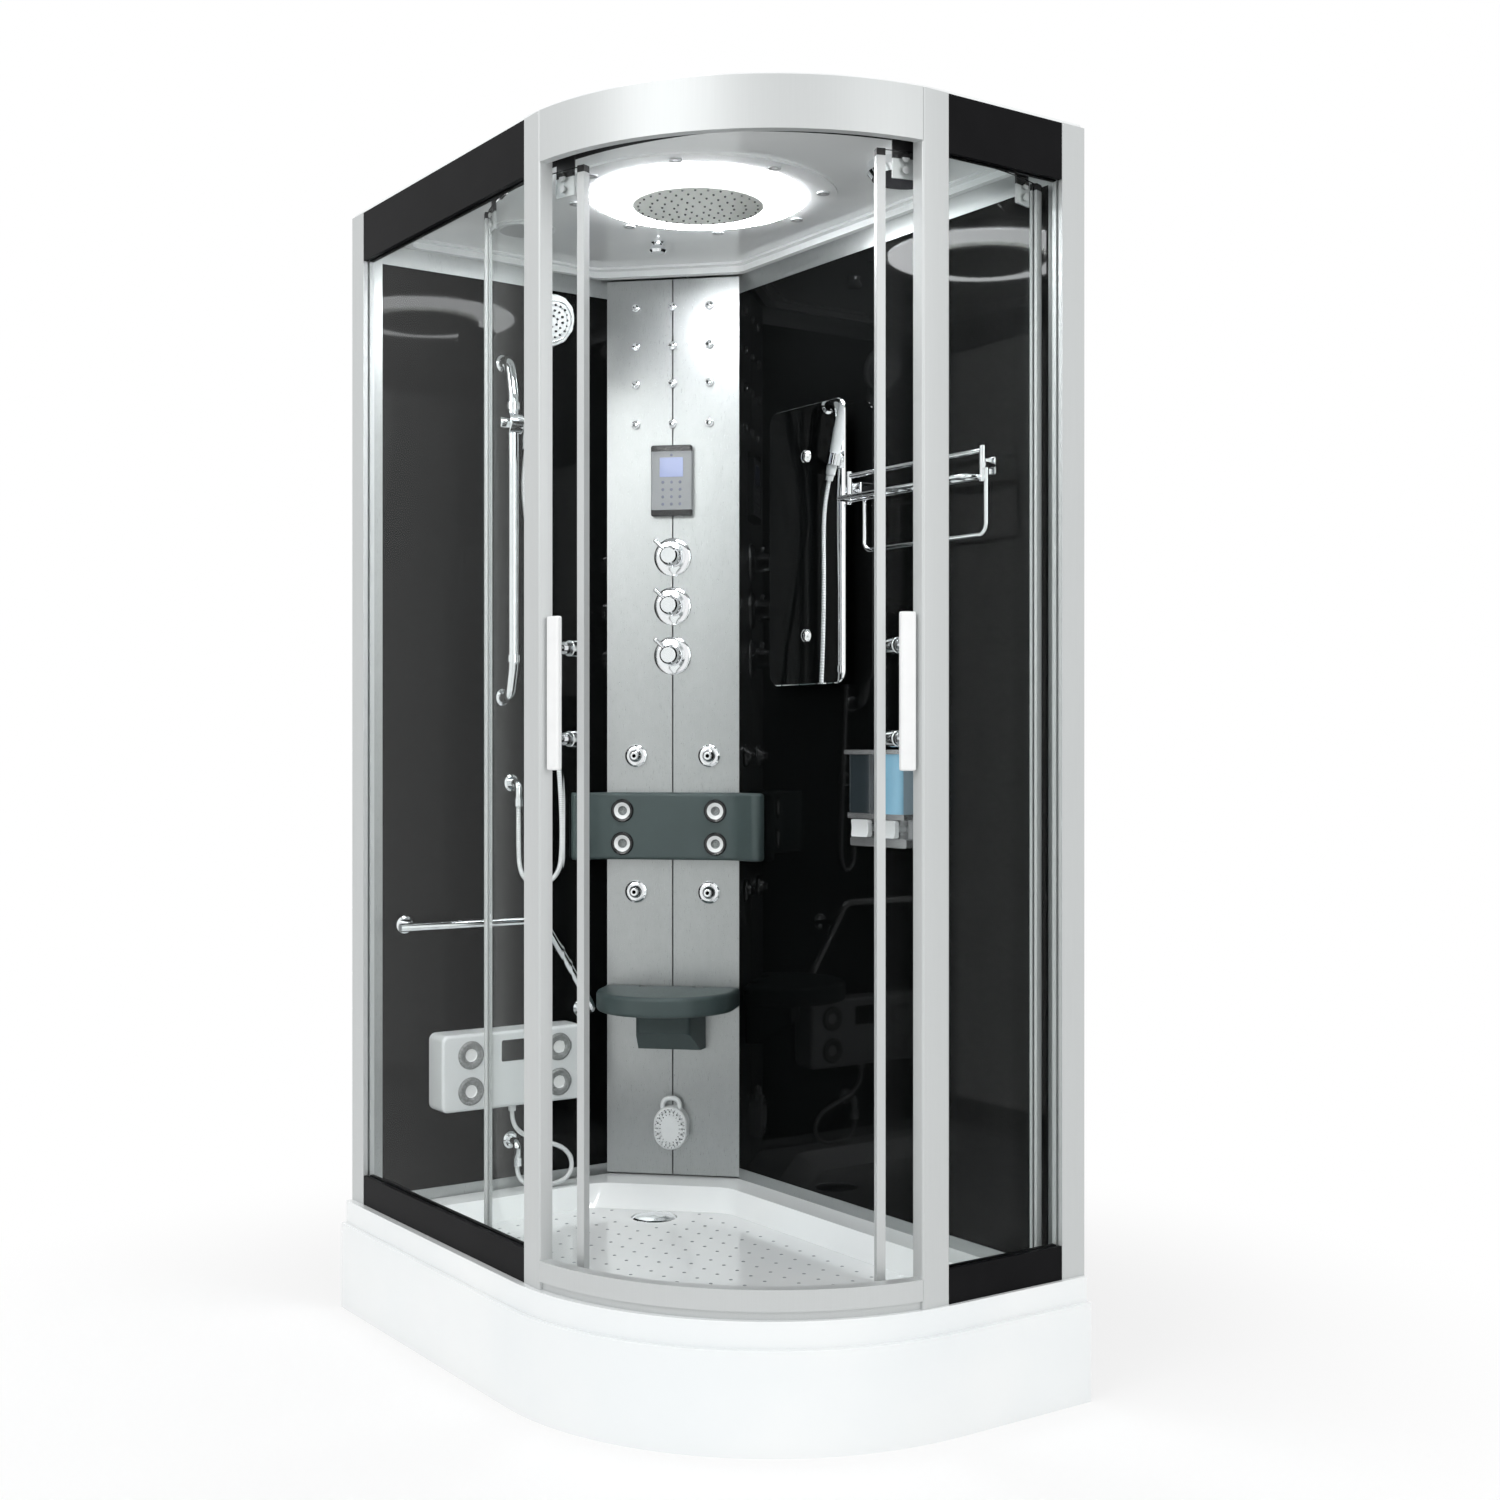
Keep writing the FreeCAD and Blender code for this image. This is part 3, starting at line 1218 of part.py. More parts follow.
def lumbar_jets():
    """Rings and bowls of the four back jets."""
    r = LUMBAR_RADIUS
    jets = []
    for x in LUMBAR_COLUMNS:
        for z in LUMBAR_ROWS:
            profile = [(0, 2), (7, 3), (9, 7), (17, 11), (r - 2, 12), (r, 10), (r, 0), (0, 0)]
            jets.append(on_column(facing(profile, x, z, -MASSAGER_DEPTH + 9 - SEAT)))
    return jets


def ear_places():
    """Left edges of the two bracket ears that carry the seat's pin."""
    return -BRACKET_HALF + 4.0, BRACKET_HALF - 4.0 - HINGE_EAR_WIDTH


def seat():
    """Half-round folding seat, drawn down, hollow under the middle, notched for the ears."""
    z1 = SEAT_TOP
    z0 = z1 - SEAT_THICK
    back = -HINGE_OUT + HINGE_EAR
    flat = SEAT_REACH - SEAT_HALF
    edges = [
        Part.LineSegment(vec(-SEAT_HALF, back, z0), vec(-SEAT_HALF, -flat, z0)).toShape(),
        Part.Arc(vec(-SEAT_HALF, -flat, z0), vec(0, -SEAT_REACH, z0), vec(SEAT_HALF, -flat, z0)).toShape(),
        Part.LineSegment(vec(SEAT_HALF, -flat, z0), vec(SEAT_HALF, back, z0)).toShape(),
        Part.LineSegment(vec(SEAT_HALF, back, z0), vec(-SEAT_HALF, back, z0)).toShape(),
    ]
    body = Part.Face(Part.Wire(edges)).extrude(vec(0, 0, SEAT_THICK))
    rim = [e for e in body.Edges if abs(e.BoundBox.ZLength) < 0.01 and e.BoundBox.YMin < back - 20]
    body = body.makeFillet(9.0, rim)
    slack = SLIP + 0.2
    half = BRACKET_HALF + slack + 1.0
    body = body.cut(block(-half, half, -BRACKET_REACH - 2.0, back + 1, z0 - 1, z0 + SEAT_POCKET))
    for x in ear_places():
        body = body.cut(block(x - slack, x + HINGE_EAR_WIDTH + slack, -HINGE_OUT - HINGE_EAR - 2.5,
                              back + 1, z0 - 1, z1 + 1))
    reach = SEAT_HALF + 1
    bore = rod(vec(-reach, -HINGE_OUT, HINGE_HEIGHT), vec(reach, -HINGE_OUT, HINGE_HEIGHT), HINGE_PIN + RUN)
    return on_column(body.cut(bore))


def seat_bracket():
    """Tapered console bolted to the column, with two ears and the hinge pin."""
    z0 = BRACKET_BOTTOM
    z1 = SEAT_TOP - SEAT_THICK + SEAT_POCKET - SLIP
    front = BRACKET_HALF - 15.0
    top = [(-BRACKET_HALF, -SEAT, 3), (-front, -BRACKET_REACH, 12), (front, -BRACKET_REACH, 12),
           (BRACKET_HALF, -SEAT, 3)]
    body = prism(top, z0, z1)
    wedge = Part.makePolygon([vec(0, -BRACKET_REACH - 1, z0 - 1), vec(0, -30, z0 - 1),
                              vec(0, -BRACKET_REACH - 1, z0 + 42), vec(0, -BRACKET_REACH - 1, z0 - 1)])
    cut = Part.Face(wedge).extrude(vec(2 * BRACKET_HALF, 0, 0))
    cut.translate(vec(-BRACKET_HALF, 0, 0))
    body = body.cut(cut)
    swing = math.hypot(HINGE_HEIGHT - z1, HINGE_EAR) + 2 * SLIP
    body = body.cut(block(-BRACKET_HALF - 1, BRACKET_HALF + 1, -HINGE_OUT - HINGE_EAR - 1.0, 1,
                          HINGE_HEIGHT - swing, z1 + 1))
    for x in ear_places():
        ear = rod(vec(x, -HINGE_OUT, HINGE_HEIGHT), vec(x + HINGE_EAR_WIDTH, -HINGE_OUT, HINGE_HEIGHT),
                  HINGE_EAR)
        neck = block(x, x + HINGE_EAR_WIDTH, -HINGE_OUT - HINGE_EAR, -HINGE_OUT + HINGE_EAR,
                     z1 - 10, HINGE_HEIGHT)
        body = body.fuse(ear).fuse(neck)
    reach = SEAT_HALF - 20.0
    pin = rod(vec(-reach, -HINGE_OUT, HINGE_HEIGHT), vec(reach, -HINGE_OUT, HINGE_HEIGHT), HINGE_PIN)
    return on_column(body.fuse(pin).removeSplitter())


def steam_outlet():
    """Oval steam diffuser with a ring of vents and a scent-cup loop on top."""
    half = OUTLET_WIDTH / 2
    z0 = OUTLET_BOTTOM
    z1 = z0 + OUTLET_HEIGHT
    body = rounded_plate(-half, half, z0, z1, -OUTLET_THICK, -SEAT, half - 0.5)
    body = body.makeFillet(6.0, [e for e in body.Edges if e.BoundBox.YMax < -OUTLET_THICK + 0.1])
    middle = (z0 + z1) / 2
    loop_path = [vec(-18, -14, z1 - 16), vec(-18, -14, z1 + 16), vec(18, -14, z1 + 16),
                 vec(18, -14, z1 - 16)]
    body = body.fuse(bent_rod(loop_path, [15.0, 15.0], 5.0))
    for i in range(20):
        a = 2 * math.pi * i / 20
        x = (half - 9) * math.cos(a)
        z = middle + (OUTLET_HEIGHT / 2 - 9) * math.sin(a)
        body = body.cut(outward_rod(x, z, -OUTLET_THICK - 1, -OUTLET_THICK + 7, 2.2))
    shank = outward_rod(0, middle, -3, COLUMN_SHEET + 14, 14.0)
    return on_column(body.fuse(shank).removeSplitter())


# ---- left-wall fittings; local x is the cabin's Y ----------------------


def flange(x, z, thick=5.0):
    """Round cover plate where a tube meets the wall."""
    r = FLANGE_RADIUS
    return facing([(0, thick), (r - 4, thick), (r, thick - 3), (r, SEAT), (0, SEAT)], x, z)


def riser_bar():
    """Slide bar with swept end arms, wall flanges and stop collars."""
    x = RISER_X
    y = -RISER_OUT
    points = [vec(x, -SEAT - 3, RISER_BOTTOM), vec(x, y + 16, RISER_BOTTOM), vec(x, y, RISER_BOTTOM + 60),
              vec(x, y, RISER_TOP - 70), vec(x, y + 16, RISER_TOP), vec(x, -SEAT - 3, RISER_TOP)]
    bar = bent_rod(points, [22.0, 80.0, 80.0, 22.0], RISER_RADIUS)
    bar = bar.fuse(flange(x, RISER_BOTTOM)).fuse(flange(x, RISER_TOP))
    for z in (SLIDER_HEIGHT - 464.0, SLIDER_HEIGHT + 34.0):
        bar = bar.fuse(Part.makeCylinder(RISER_RADIUS + 3.0, 14, vec(x, y, z - 7)))
    return on_left(bar)


def shower_slider():
    """Clamp that slides on the bar, with a friction knob and a pivot boss."""
    x = RISER_X
    y = -RISER_OUT
    z = SLIDER_HEIGHT
    body = rod(vec(x - 16, y, z), vec(x + SLIDER_SIDE, y, z), SLIDER_RADIUS)
    body = body.makeFillet(2.5, [e for e in body.Edges if e.BoundBox.XLength < 0.01])
    knob = rod(vec(x - 34, y, z), vec(x - 15, y, z), 12.0)
    knob = knob.makeFillet(3.0, [e for e in knob.Edges if e.BoundBox.XMax < x - 33])
    bore = Part.makeCylinder(RISER_RADIUS + RUN, 60, vec(x, y, z - 30))
    pin = rod(vec(x + SLIDER_SIDE - 2, y, z), vec(x + SLIDER_SIDE + 6, y, z), 5.0)
    return on_left(body.fuse(knob).cut(bore).fuse(pin).removeSplitter())


def tilt_axis():
    """Unit vector up along the handset, leaning out from the wall."""
    a = math.radians(HANDSET_TILT)
    return vec(0, -math.sin(a), math.cos(a))


def handset_ring():
    return vec(HANDSET_X, -HANDSET_OUT, SLIDER_HEIGHT)


def handset_holder():
    """Cradle ring that tilts on the slider's boss and takes the handset."""
    up = tilt_axis()
    at = handset_ring()
    cradle = ring(at - up * 13, at + up * 13, HANDSET_GRIP + 4.5, HANDSET_GRIP + SEAT)
    x0 = RISER_X + SLIDER_SIDE + SLIP
    disc = rod(vec(x0, -RISER_OUT, SLIDER_HEIGHT), vec(HANDSET_X - 4, -RISER_OUT, SLIDER_HEIGHT), 12.0)
    cradle = cradle.fuse(disc)
    cradle = cradle.cut(rod(at - up * 30, at + up * 30, HANDSET_GRIP + SEAT))
    hole = rod(vec(x0 - 5, -RISER_OUT, SLIDER_HEIGHT), vec(x0 + 6, -RISER_OUT, SLIDER_HEIGHT), 5.0 + RUN)
    return on_left(cradle.cut(hole).removeSplitter())


def handset():
    """Hand shower: tapered grip, bent neck and a round spray head."""
    up = tilt_axis()
    at = handset_ring()
    g = HANDSET_GRIP
    tail = HANDSET_TAIL
    reach = HANDSET_REACH
    profile = [(0, -tail), (8, -tail), (9, -tail + 12), (g - 1.0, -tail + 14), (g, -14), (g, 14),
               (g + 1.5, 60), (g, 120), (g + 2, reach), (0, reach)]
    grip = turned(profile, at, up)
    face = vec(0, -0.93, -0.3675)
    centre = at + up * (reach + 12) + vec(0, -16, 0)
    r = HEAD_RADIUS
    head_profile = [(0, 11), (r - 12, 11), (r - 8, 9), (r - 3, 9), (r, 5), (r, 0), (r - 12, -9),
                    (18, -16), (0, -17)]
    head = turned(head_profile, centre, face)
    body = grip.fuse(head)
    neck = rod(at + up * (reach - 20), centre, g)
    body = body.fuse(neck)
    side = vec(1, 0, 0)
    rise = face.cross(side)
    for ring_index in range(1, 4):
        count = 6 * ring_index
        for i in range(count):
            a = 2 * math.pi * i / count
            spot = centre + face * 10.5 + (side * math.cos(a) + rise * math.sin(a)) * (ring_index * 10.5)
            body = body.fuse(Part.makeCone(2.0, 1.3, 3.0, spot, face))
    return on_left(body)


def elbow(x, z):
    """Wall outlet that turns down to the hose nut."""
    points = [vec(x, -SEAT - 3, z), vec(x, -ELBOW_OUT, z), vec(x, -ELBOW_OUT, z - 30)]
    bend = bent_rod(points, [12.0], 8.0)
    nut = Part.makeCylinder(10.0, 16, vec(x, -ELBOW_OUT, z - 46))
    return on_left(bend.fuse(flange(x, z, 6.0)).fuse(nut).removeSplitter())


def massager_nipple():
    """Hose nipple under the foot massager."""
    return Part.makeCylinder(8.0, NIPPLE + 4.0, vec(MASSAGER_HOSE_X, MASSAGER_HOSE_Y, FOOT_Z0 - NIPPLE))


def foot_massager():
    """Moulded foot-massage box with four ring seats and a dark window."""
    d = FOOT_OUT
    body = rounded_plate(FOOT_X0, FOOT_X1, FOOT_Z0, FOOT_Z1, -d, -SEAT, 14.0)
    front = [e for e in body.Edges if e.BoundBox.YMax < -d + 0.1]
    body = body.makeFillet(7.0, front)
    for x, z in foot_ring_places():
        body = body.cut(outward_rod(x, z, -d - 1, -d + 4, FOOT_RING_OUTER + SLIP))
    x0, x1, z0, z1 = FOOT_WINDOW
    window = rounded_plate(x0, x1, z0, z1, -d - 1, -d + FOOT_WINDOW_DEPTH, 4.0)
    return on_left(body.cut(window).fuse(massager_nipple()).removeSplitter())


def foot_ring_places():
    return [(x, z) for x in FOOT_RING_COLUMNS for z in FOOT_RING_ROWS]


def foot_rings():
    """Grey spray rings of the foot massager, and its window pane."""
    r = FOOT_RING_OUTER
    n = FOOT_RING_INNER
    back = -FOOT_OUT + 4 - SEAT
    profile = [(0, 3), (n - 2, 3), (n, 5), (n + 5, 7), (r - 4, 7), (r, 4), (r, 0), (0, 0)]
    rings = [on_left(facing(profile, x, z, back)) for x, z in foot_ring_places()]
    x0, x1, z0, z1 = FOOT_WINDOW
    pane = rounded_plate(x0 + SLIP, x1 - SLIP, z0 + SLIP, z1 - SLIP, -FOOT_OUT,
                         -FOOT_OUT + FOOT_WINDOW_DEPTH - SEAT, 3.5)
    return rings + [on_left(pane)]


def grab_bar():
    """Bent safety rail: a free end, two stands and an end that turns into the wall."""
    y = -GRAB_OUT
    top = GRAB_HEIGHT
    fall = (GRAB_END - GRAB_BEND) * GRAB_SLOPE
    points = [vec(GRAB_START, y, top), vec(GRAB_BEND, y, top), vec(GRAB_END, y, top - fall),
              vec(GRAB_END, -SEAT - 3, top - fall)]
    bar = bent_rod(points, [30.0, 26.0], GRAB_RADIUS)
    middle = GRAB_BEND + GRAB_MIDDLE
    stands = [(GRAB_START + GRAB_STAND, top), (middle, top - GRAB_MIDDLE * GRAB_SLOPE)]
    for x, z in stands:
        bar = bar.fuse(outward_rod(x, z, -SEAT - 3, y, GRAB_RADIUS - 2.0))
        bar = bar.fuse(flange(x, z))
    return on_left(bar.fuse(flange(GRAB_END, top - fall)))


# ---- hoses -------------------------------------------------------------
def smooth_radii(points):
    """Largest tangent arcs that the neighbouring runs allow."""
    radii = []
    for i in range(1, len(points) - 1):
        a = points[i - 1] - points[i]
        b = points[i + 1] - points[i]
        half = a.getAngle(b) / 2
        radii.append(0.45 * min(a.Length, b.Length) * math.tan(half))
    return radii


def hose(name, points):
    """Round tube along tangent arcs; prints its radii and checks its volume."""
    radii = smooth_radii(points)
    tube = bent_rod(points, radii, HOSE_RADIUS)
    length = route(points, radii).Length
    print(name, "radii", [round(r) for r in radii])
    print(name, "runs", [round((points[i + 1] - points[i]).Length) for i in range(len(points) - 1)])
    print(name, "volume ratio", round(tube.Volume / (math.pi * HOSE_RADIUS ** 2 * length), 4))
    return on_left(tube)


# ---- back-wall fittings ------------------------------------------------


def mirror():
    """Rounded mirror plate with a ground edge, on two capped standoffs."""
    y0 = -MIRROR_OUT - MIRROR_THICK
    plate = rounded_plate(MIRROR_X0, MIRROR_X1, MIRROR_Z0, MIRROR_Z1, y0, -MIRROR_OUT, 26.0)
    plate = plate.makeChamfer(1.8, [e for e in plate.Edges if e.BoundBox.YMax < y0 + 0.1])
    studs = []
    for z in MIRROR_STUD_ROWS:
        plate = plate.cut(outward_rod(MIRROR_STUD_X, z, y0 - 5, 0, 5.0 + SLIP))
        front = MIRROR_OUT + MIRROR_THICK
        cap = [(0, front + 7), (8, front + 6), (12, front + 3), (12, front + SEAT), (5, front + SEAT),
               (5, MIRROR_OUT - SEAT), (9, MIRROR_OUT - SEAT), (9, 8), (13, 4), (13, SEAT), (0, SEAT)]
        studs.append(on_back(facing(cap, MIRROR_STUD_X, z)))
    return [on_back(plate)] + studs


def rack():
    """Wall blocks, gallery and shelf rails, glass shelf and a hanging towel bar."""
    b = RACK_BLOCK
    y = -RACK_OUT
    pieces = []
    for x in (RACK_X0, RACK_X1):
        mount = rounded_plate(x - b, x + b, RACK_Z - b, RACK_Z + b, -RACK_OUT + 14, -SEAT, 3.0)
        mount = mount.makeFillet(2.0, [e for e in mount.Edges if e.BoundBox.YMax < -RACK_OUT + 14.1])
        pieces.append(mount)
    frame = pieces[0].fuse(pieces[1])
    for z in (GALLERY_Z, SHELF_Z):
        frame = frame.fuse(rod(vec(RACK_X0, y, z), vec(RACK_X1, y, z), 5.0))
    for x in (RACK_X0, RACK_X1):
        frame = frame.fuse(rod(vec(x, y, SHELF_Z - 8), vec(x, y, GALLERY_Z + 8), 6.0))
        frame = frame.fuse(outward_rod(x, RACK_Z, y, -RACK_OUT + 20, 4.5))
    front = -SHELF_DEPTH
    tray_path = [vec(RACK_X0 + 4, y, SHELF_Z), vec(RACK_X0 + 4, front, SHELF_Z),
                 vec(RACK_X1 - 4, front, SHELF_Z), vec(RACK_X1 - 4, y, SHELF_Z)]
    frame = frame.fuse(bent_rod(tray_path, [14.0, 14.0], 4.0))
    wires = 9
    step = (RACK_X1 - RACK_X0 - 8) / (wires + 1)
    for i in range(1, wires + 1):
        x = RACK_X0 + 4 + i * step
        frame = frame.fuse(outward_rod(x, SHELF_Z, front, y, 2.2))
    drop = [vec(TOWEL_X0, -TOWEL_OUT, SHELF_Z + 1), vec(TOWEL_X0, -TOWEL_OUT, TOWEL_Z),
            vec(TOWEL_X1, -TOWEL_OUT, TOWEL_Z), vec(TOWEL_X1, -TOWEL_OUT, RACK_Z)]
    frame = frame.fuse(bent_rod(drop, [18.0, 18.0], TOWEL_RADIUS))
    hanger = outward_rod(TOWEL_X1, RACK_Z, -TOWEL_OUT - 7, -RACK_OUT + 20, TOWEL_RADIUS + 1.5)
    frame = frame.fuse(hanger)
    return on_back(frame)


def soap_tank_places():
    """Left and right edges of the two containers."""
    middle = (SOAP_X0 + SOAP_X1) / 2
    return (SOAP_X0 + 6.0, middle - 2.0), (middle + 2.0, SOAP_X1 - 6.0)


def soap_dispenser():
    """Back plate, lid and foot of the double dispenser, open between them."""
    plate = rounded_plate(SOAP_X0, SOAP_X1, SOAP_Z0, SOAP_Z1, -8, -SEAT, 8.0)
    lid = rounded_plate(SOAP_X0, SOAP_X1, SOAP_Z1 - 8, SOAP_Z1, -SOAP_OUT, -7, 3.0)
    base = rounded_plate(SOAP_X0, SOAP_X1, SOAP_Z0, SOAP_Z0 + 16, -SOAP_OUT + 14, -7, 5.0)
    body = plate.fuse(lid).fuse(base)
    shelf = block(SOAP_X0, SOAP_X1, -SOAP_OUT + 8, -7, SOAP_TANK_Z0 - 10, SOAP_TANK_Z0)
    body = body.fuse(shelf)
    for x0, x1 in soap_tank_places():
        x = (x0 + x1) / 2
        guide = block(x - 11, x + 11, -26, -7, SOAP_Z0 + 16 - 1, SOAP_TANK_Z0 - 9)
        body = body.fuse(guide)
        body = body.cut(outward_rod(x, SOAP_LEVER_Z, -40, -7 + SEAT, 6.0 + RUN))
    return on_back(body.removeSplitter())


SOAP_LEVER_Z = (SOAP_Z0 + 16.0 + SOAP_TANK_Z0 - 10.0) / 2


def soap_containers():
    """The two lift-out liquid containers with rounded fronts."""
    tanks = []
    for x0, x1 in soap_tank_places():
        tank = block(x0, x1, -SOAP_OUT + 3, -8 - SEAT, SOAP_TANK_Z0 + SEAT, SOAP_Z1 - 8 - SEAT)
        tank = tank.makeFillet(10.0, [e for e in vertical_edges(tank) if e.Vertexes[0].Y < -SOAP_OUT + 4])
        tanks.append(on_back(tank))
    return tanks


def soap_lever(index):
    """Push lever with a dished front, on a plunger that runs into the body."""
    x0, x1 = soap_tank_places()[index]
    x = (x0 + x1) / 2
    half = LEVER_WIDTH / 2
    low = SOAP_Z0 + 16 + SLIP + 1
    high = SOAP_TANK_Z0 - 10 - SLIP - 1
    face = rounded_plate(x - half, x + half, low, high, -SOAP_OUT, -SOAP_OUT + 12, 5.0)
    dish = Part.makeCylinder(60.0, 2 * half, vec(x - half, -SOAP_OUT - 57, (low + high) / 2), vec(1, 0, 0))
    face = face.cut(dish)
    plunger = outward_rod(x, SOAP_LEVER_Z, -SOAP_OUT + 8, -7 - LEVER_TRAVEL - 4, 6.0)
    return on_back(face.fuse(plunger).removeSplitter())


# ---- behind the column -------------------------------------------------
def steam_generator():
    """Boiler case on the ledge behind the column, with lid, spout and drain boss."""
    x = WALL_X + 50.0
    y = WALL_Y - 50.0
    z0 = LEDGE + SEAT
    case = Part.makeCylinder(44.0, 210.0, vec(x, y, z0))
    case = case.makeFillet(6.0, [e for e in case.Edges if abs(e.BoundBox.ZLength) < 0.01])
    lid = Part.makeCylinder(47.0, 8.0, vec(x, y, z0 + 150))
    spout = [vec(x, y, z0 + 205), vec(x, y, z0 + 240), vec(x + 20, y - 20, z0 + 240)]
    return case.fuse(lid).fuse(bent_rod(spout, [14.0], 9.0)).removeSplitter()


def supply_pipes():
    """Hot and cold risers behind the column, feeding the valve bodies."""
    pipes = []
    for side in (-1, 1):
        points = [vec(side * 26, 52, LEDGE + 300), vec(side * 26, 52, VALVE_ROWS[0] + 40),
                  vec(0, 52, VALVE_ROWS[0] + 40)]
        pipes.append(bent_rod(points, [14.0], 7.0))
    joined_pipes = pipes[0].fuse(pipes[1])
    for z in VALVE_ROWS:
        tee = outward_rod(0, z, 34 + SEAT, 52, 9.0)
        bar = rod(vec(-26, 52, z), vec(26, 52, z), 8.0)
        joined_pipes = joined_pipes.fuse(tee).fuse(bar)
    return on_column(joined_pipes)


# ---- write every sub-part ----------------------------------------------
SHOWER_HOSE = [
    vec(-47.0, -49.7, 1663.7), vec(-47.0, -35.7, 1623.0), vec(-44.0, -33.0, 1560.0),
    vec(-34.0, -48.0, 1450.0), vec(-18.0, -66.0, 1310.0), vec(-2.0, -78.0, 1165.0),
    vec(8.0, -84.0, 1035.0), vec(14.0, -84.5, 940.0), vec(15.0, -83.0, 872.0),
    vec(12.0, -80.0, 826.0), vec(-8.0, -67.0, 801.0), vec(-37.0, -48.0, 800.0),
    vec(-57.0, -38.0, 825.0), vec(-57.0, -34.0, 891.0), vec(-57.0, -34.0, 955.0),
]
MASSAGER_HOSE = [
    vec(-75.0, -40.0, 353.0), vec(-75.0, -40.0, 326.0), vec(-48.0, -43.0, 300.0),
    vec(-10.0, -45.0, 286.0), vec(26.0, -46.0, 274.0), vec(50.0, -46.0, 257.0),
    vec(60.0, -46.0, 233.0), vec(52.0, -46.0, 210.0), vec(31.0, -45.0, 198.5),
    vec(0.0, -44.0, 197.5), vec(-33.0, -41.0, 199.0), vec(-50.5, -37.5, 209.0),
    vec(-60.0, -34.0, 226.0), vec(-60.0, -34.0, 241.0),
]


def build():
    save("tray_basin", tray_basin())
    save("tray_skirt", tray_skirt())
    save("tray_frame", *tray_frame())
    save("drain_cover", drain_cover())
    save("drain_trap", drain_trap())
    save("fixed_glass", *fixed_glass())
    save("glass_bars", *glass_bars())
    save("upright_profiles", *end_profiles(), *door_posts())
    save("header_cover", header_cover())
    save("door_tracks", door_tracks())
    save("bottom_rail", bottom_rail())
    left_frame, left_glass, back_frame, back_glass = side_walls()
    save("wall_frames", left_frame, back_frame)
    save("wall_glass", left_glass, back_glass)
    save("column_panels", *column_panels(column_holes()))
    save("roof_shell", roof_shell())
    save("ceiling_lights", *ceiling_lights())
    save("rain_head", rain_head())
    save("ceiling_fittings", *ceiling_fittings())
    save("fan_rotor", fan_rotor())
    save("control_panel", on_column(control_panel()))
    save("control_keys", *[on_column(key) for key in control_keys()])
    save("micro_nozzles", *micro_nozzles())
    save("column_flanges", *rosettes(), *jet_bodies())
    for name, z in zip(("upper", "middle", "lower"), VALVE_ROWS):
        save("control_knob_" + name, valve_knob(z))
    for name, (x, z) in zip(("upper_left", "upper_right", "lower_left", "lower_right"), jet_places()):
        save("body_jet_" + name, jet_nozzle(x, z))
    save("back_massager", back_massager())
    save("massage_rings", *lumbar_jets(), *foot_rings())
    save("folding_seat", seat())
    save("seat_bracket", seat_bracket())
    save("steam_outlet", steam_outlet())
    save("riser_bar", riser_bar())
    save("shower_slider", shower_slider())
    save("handset_holder", handset_holder())
    save("handset", handset())
    save("hose_elbows", elbow(*SHOWER_ELBOW), elbow(*MASSAGER_ELBOW))
    save("shower_hose", hose("shower_hose", SHOWER_HOSE))
    save("massager_hose", hose("massager_hose", MASSAGER_HOSE))
    save("foot_massager", foot_massager())
    save("grab_bar", grab_bar())
    save("wall_mirror", *mirror())
    save("towel_rack", rack())
    save("soap_dispenser", soap_dispenser(), *soap_containers())
    save("soap_lever_left", soap_lever(0))
    save("soap_lever_right", soap_lever(1))
    save("steam_and_water_supply", steam_generator(), supply_pipes())
    glass = opened(door_glass())
    metal = [opened(piece) for piece in door_metal()]
    handle = opened(door_handle())
    rear_wheel, lead_wheel = [opened(wheel(angle)) for angle in roller_angles()]
    save("front_door_glass", glass)
    save("front_door_frame", *metal)
    save("front_door_handle", handle)
    save("front_door_rear_wheel", rear_wheel)
    save("front_door_lead_wheel", lead_wheel)
    save("side_door_glass", mirrored(glass))
    save("side_door_frame", *[mirrored(piece) for piece in metal])
    save("side_door_handle", mirrored(handle))
    save("side_door_rear_wheel", mirrored(rear_wheel))
    save("side_door_lead_wheel", mirrored(lead_wheel))


build()
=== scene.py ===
import math

import bmesh
import bpy
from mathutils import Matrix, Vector


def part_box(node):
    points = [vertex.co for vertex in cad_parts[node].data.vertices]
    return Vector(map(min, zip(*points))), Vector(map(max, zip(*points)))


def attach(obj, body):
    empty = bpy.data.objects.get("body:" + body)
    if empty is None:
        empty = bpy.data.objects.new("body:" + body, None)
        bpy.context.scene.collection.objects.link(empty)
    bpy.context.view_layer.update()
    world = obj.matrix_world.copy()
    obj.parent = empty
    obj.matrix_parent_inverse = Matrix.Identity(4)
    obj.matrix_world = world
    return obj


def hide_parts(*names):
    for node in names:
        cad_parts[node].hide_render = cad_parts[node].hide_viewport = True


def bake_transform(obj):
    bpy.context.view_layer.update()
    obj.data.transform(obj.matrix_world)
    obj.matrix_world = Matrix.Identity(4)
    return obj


bl_info = {
    "name": "Steam shower cabin",
    "version": (1, 0, 0),
    "blender": (4, 5, 0),
    "location": "View3D > Sidebar > Cabin",
    "description": "Finishes, fine fittings and studio for a corner steam shower cabin",
    "category": "Object",
}

